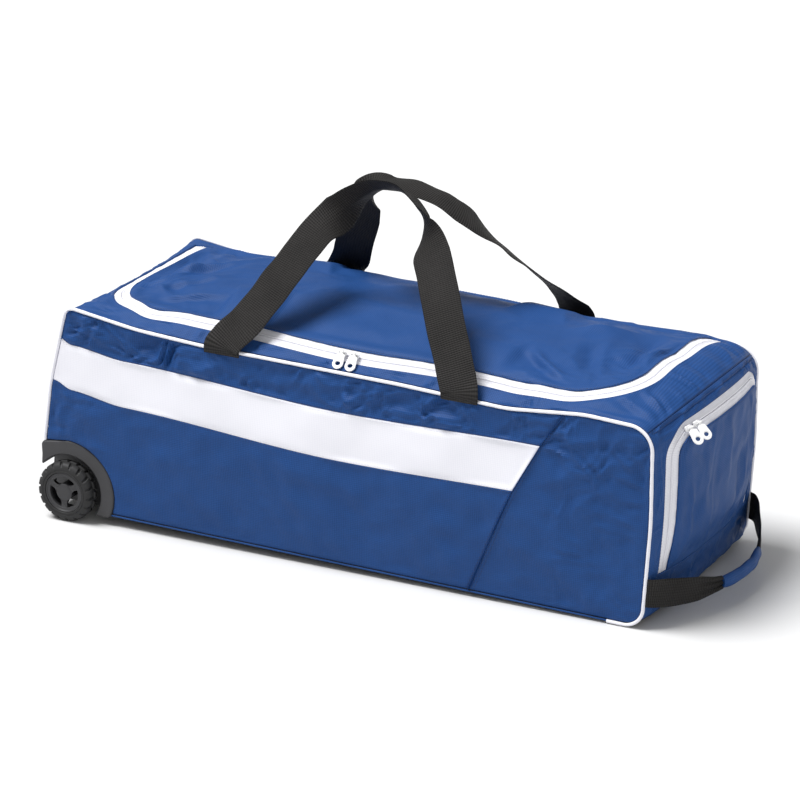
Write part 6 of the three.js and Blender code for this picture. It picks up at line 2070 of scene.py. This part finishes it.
def build_pulls():
    """Sliders and tabs, placed on their zips by distances on the cloth."""
    for name, where, along, droop, lean in PULL_ROWS:
        on_lid = where == "lid"
        surface = top_point if on_lid else end_point
        if on_lid:
            across = float(lid_front(along)) - 1.5 * GAP - TAPE_WIDTH
        else:
            along = along - POCKET_HALF_WIDTH
            across = POCKET_TOP_MARGIN - 1.5 * GAP - TAPE_WIDTH
        at = np.array([along, along + 1, along - 1, along, along])
        to = np.array([across, across, across, across + 1, across - 1])
        point, ahead, behind, up, down = surface(at, to)
        zip_way, seam_way = unit(ahead - behind), unit(up - down)
        normal = unit(np.cross(zip_way, seam_way) if on_lid else np.cross(seam_way, zip_way))
        basis = np.stack([zip_way, np.cross(normal, zip_way), normal], axis=-1)
        origin = point + normal * (GAP + SLIDER_HALF)
        drop, tilt = math.radians(droop), -math.radians(lean)
        cos, sin = math.cos(drop), math.sin(drop)
        about_x = np.array([[1, 0, 0], [0, cos, -sin], [0, sin, cos]])
        cos, sin = math.cos(tilt), math.sin(tilt)
        about_y = np.array([[cos, 0, sin], [0, 1, 0], [-sin, 0, cos]])
        swing = about_y @ about_x

        def on_zip(points, basis=basis, origin=origin):
            return points @ basis.T + origin

        def on_bar(points, basis=basis, origin=origin, swing=swing):
            return (points @ swing.T + (0.0, 0.0, BAR_HEIGHT)) @ basis.T + origin

        slider = joined_mesh(name + "_slider_casting", slider_parts(math.radians(lean)), False, on_zip)
        add_piece(slider, white_plastic, "bag", "white_plastic", name + "_slider")
        tab = joined_mesh(name + "_pull_moulding", pull_parts(), False, on_bar)
        add_piece(tab, white_plastic, name + "_tab", "white_plastic", name + "_pull")


build_pulls()

# %% Sew the noted rows
# the navy rows are partly painted shade: their thread is darker than real so that each seam shows a dark
# line
for number, rows in enumerate((blue_rows[::2], blue_rows[1::2])):
    add_piece(stitch_mesh(f"blue_seam_stitches_{number + 1}", rows), navy_thread_and_seam_shade, "bag", "blue_cloth")
add_piece(stitch_mesh("white_seam_stitches", white_rows), white_thread, "bag", "white_cloth")

# %% [markdown]
# ## Light
# The photograph has the flat, bright light of a product studio: a wide soft light above the front, a
# weaker one from the other side to open the shadows, and white all round.


# %% Stage and lights
def build_stage():
    """A pale floor that runs out of the picture, and a white world."""
    mesh = bpy.data.meshes.new("studio_floor")
    corners = [(-12.0, -12.0, 0.0), (12.0, -12.0, 0.0), (12.0, 12.0, 0.0), (-12.0, 12.0, 0.0)]
    mesh.from_pydata(corners, [], [(0, 1, 2, 3)])
    material, shader = new_material("pale_studio_paper")
    shader.inputs["Base Color"].default_value = linear("#D6D6D6")
    shader.inputs["Roughness"].default_value = 0.9
    mesh.materials.append(material)
    floor = bpy.data.objects.new("studio_floor", mesh)
    bpy.context.scene.collection.objects.link(floor)
    world = bpy.data.worlds.new("studio")
    world.use_nodes = True
    background = world.node_tree.nodes["Background"]
    background.inputs["Color"].default_value = (1.0, 1.0, 1.0, 1.0)
    background.inputs["Strength"].default_value = 0.38
    bpy.context.scene.world = world


def sky_light(name, way, spread, power):
    """A very broad even light from one direction, which falls off nowhere on the floor."""
    data = bpy.data.lights.new(name, "SUN")
    data.angle = math.radians(spread)
    data.energy = power
    light = bpy.data.objects.new(name, data)
    bpy.context.scene.collection.objects.link(light)
    flat = math.hypot(way[0], way[1])
    light.rotation_euler = (math.atan2(flat, way[2]), 0.0, math.atan2(way[1], way[0]) + math.pi / 2)


build_stage()
sky_light("overhead_softbox", (-0.4, -0.2, 1.0), 30.0, 4.25)
sky_light("side_fill", (0.9, -0.25, 0.3), 60.0, 0.55)
bpy.context.scene.view_settings.view_transform = "Standard"
bpy.context.scene.view_settings.look = "None"
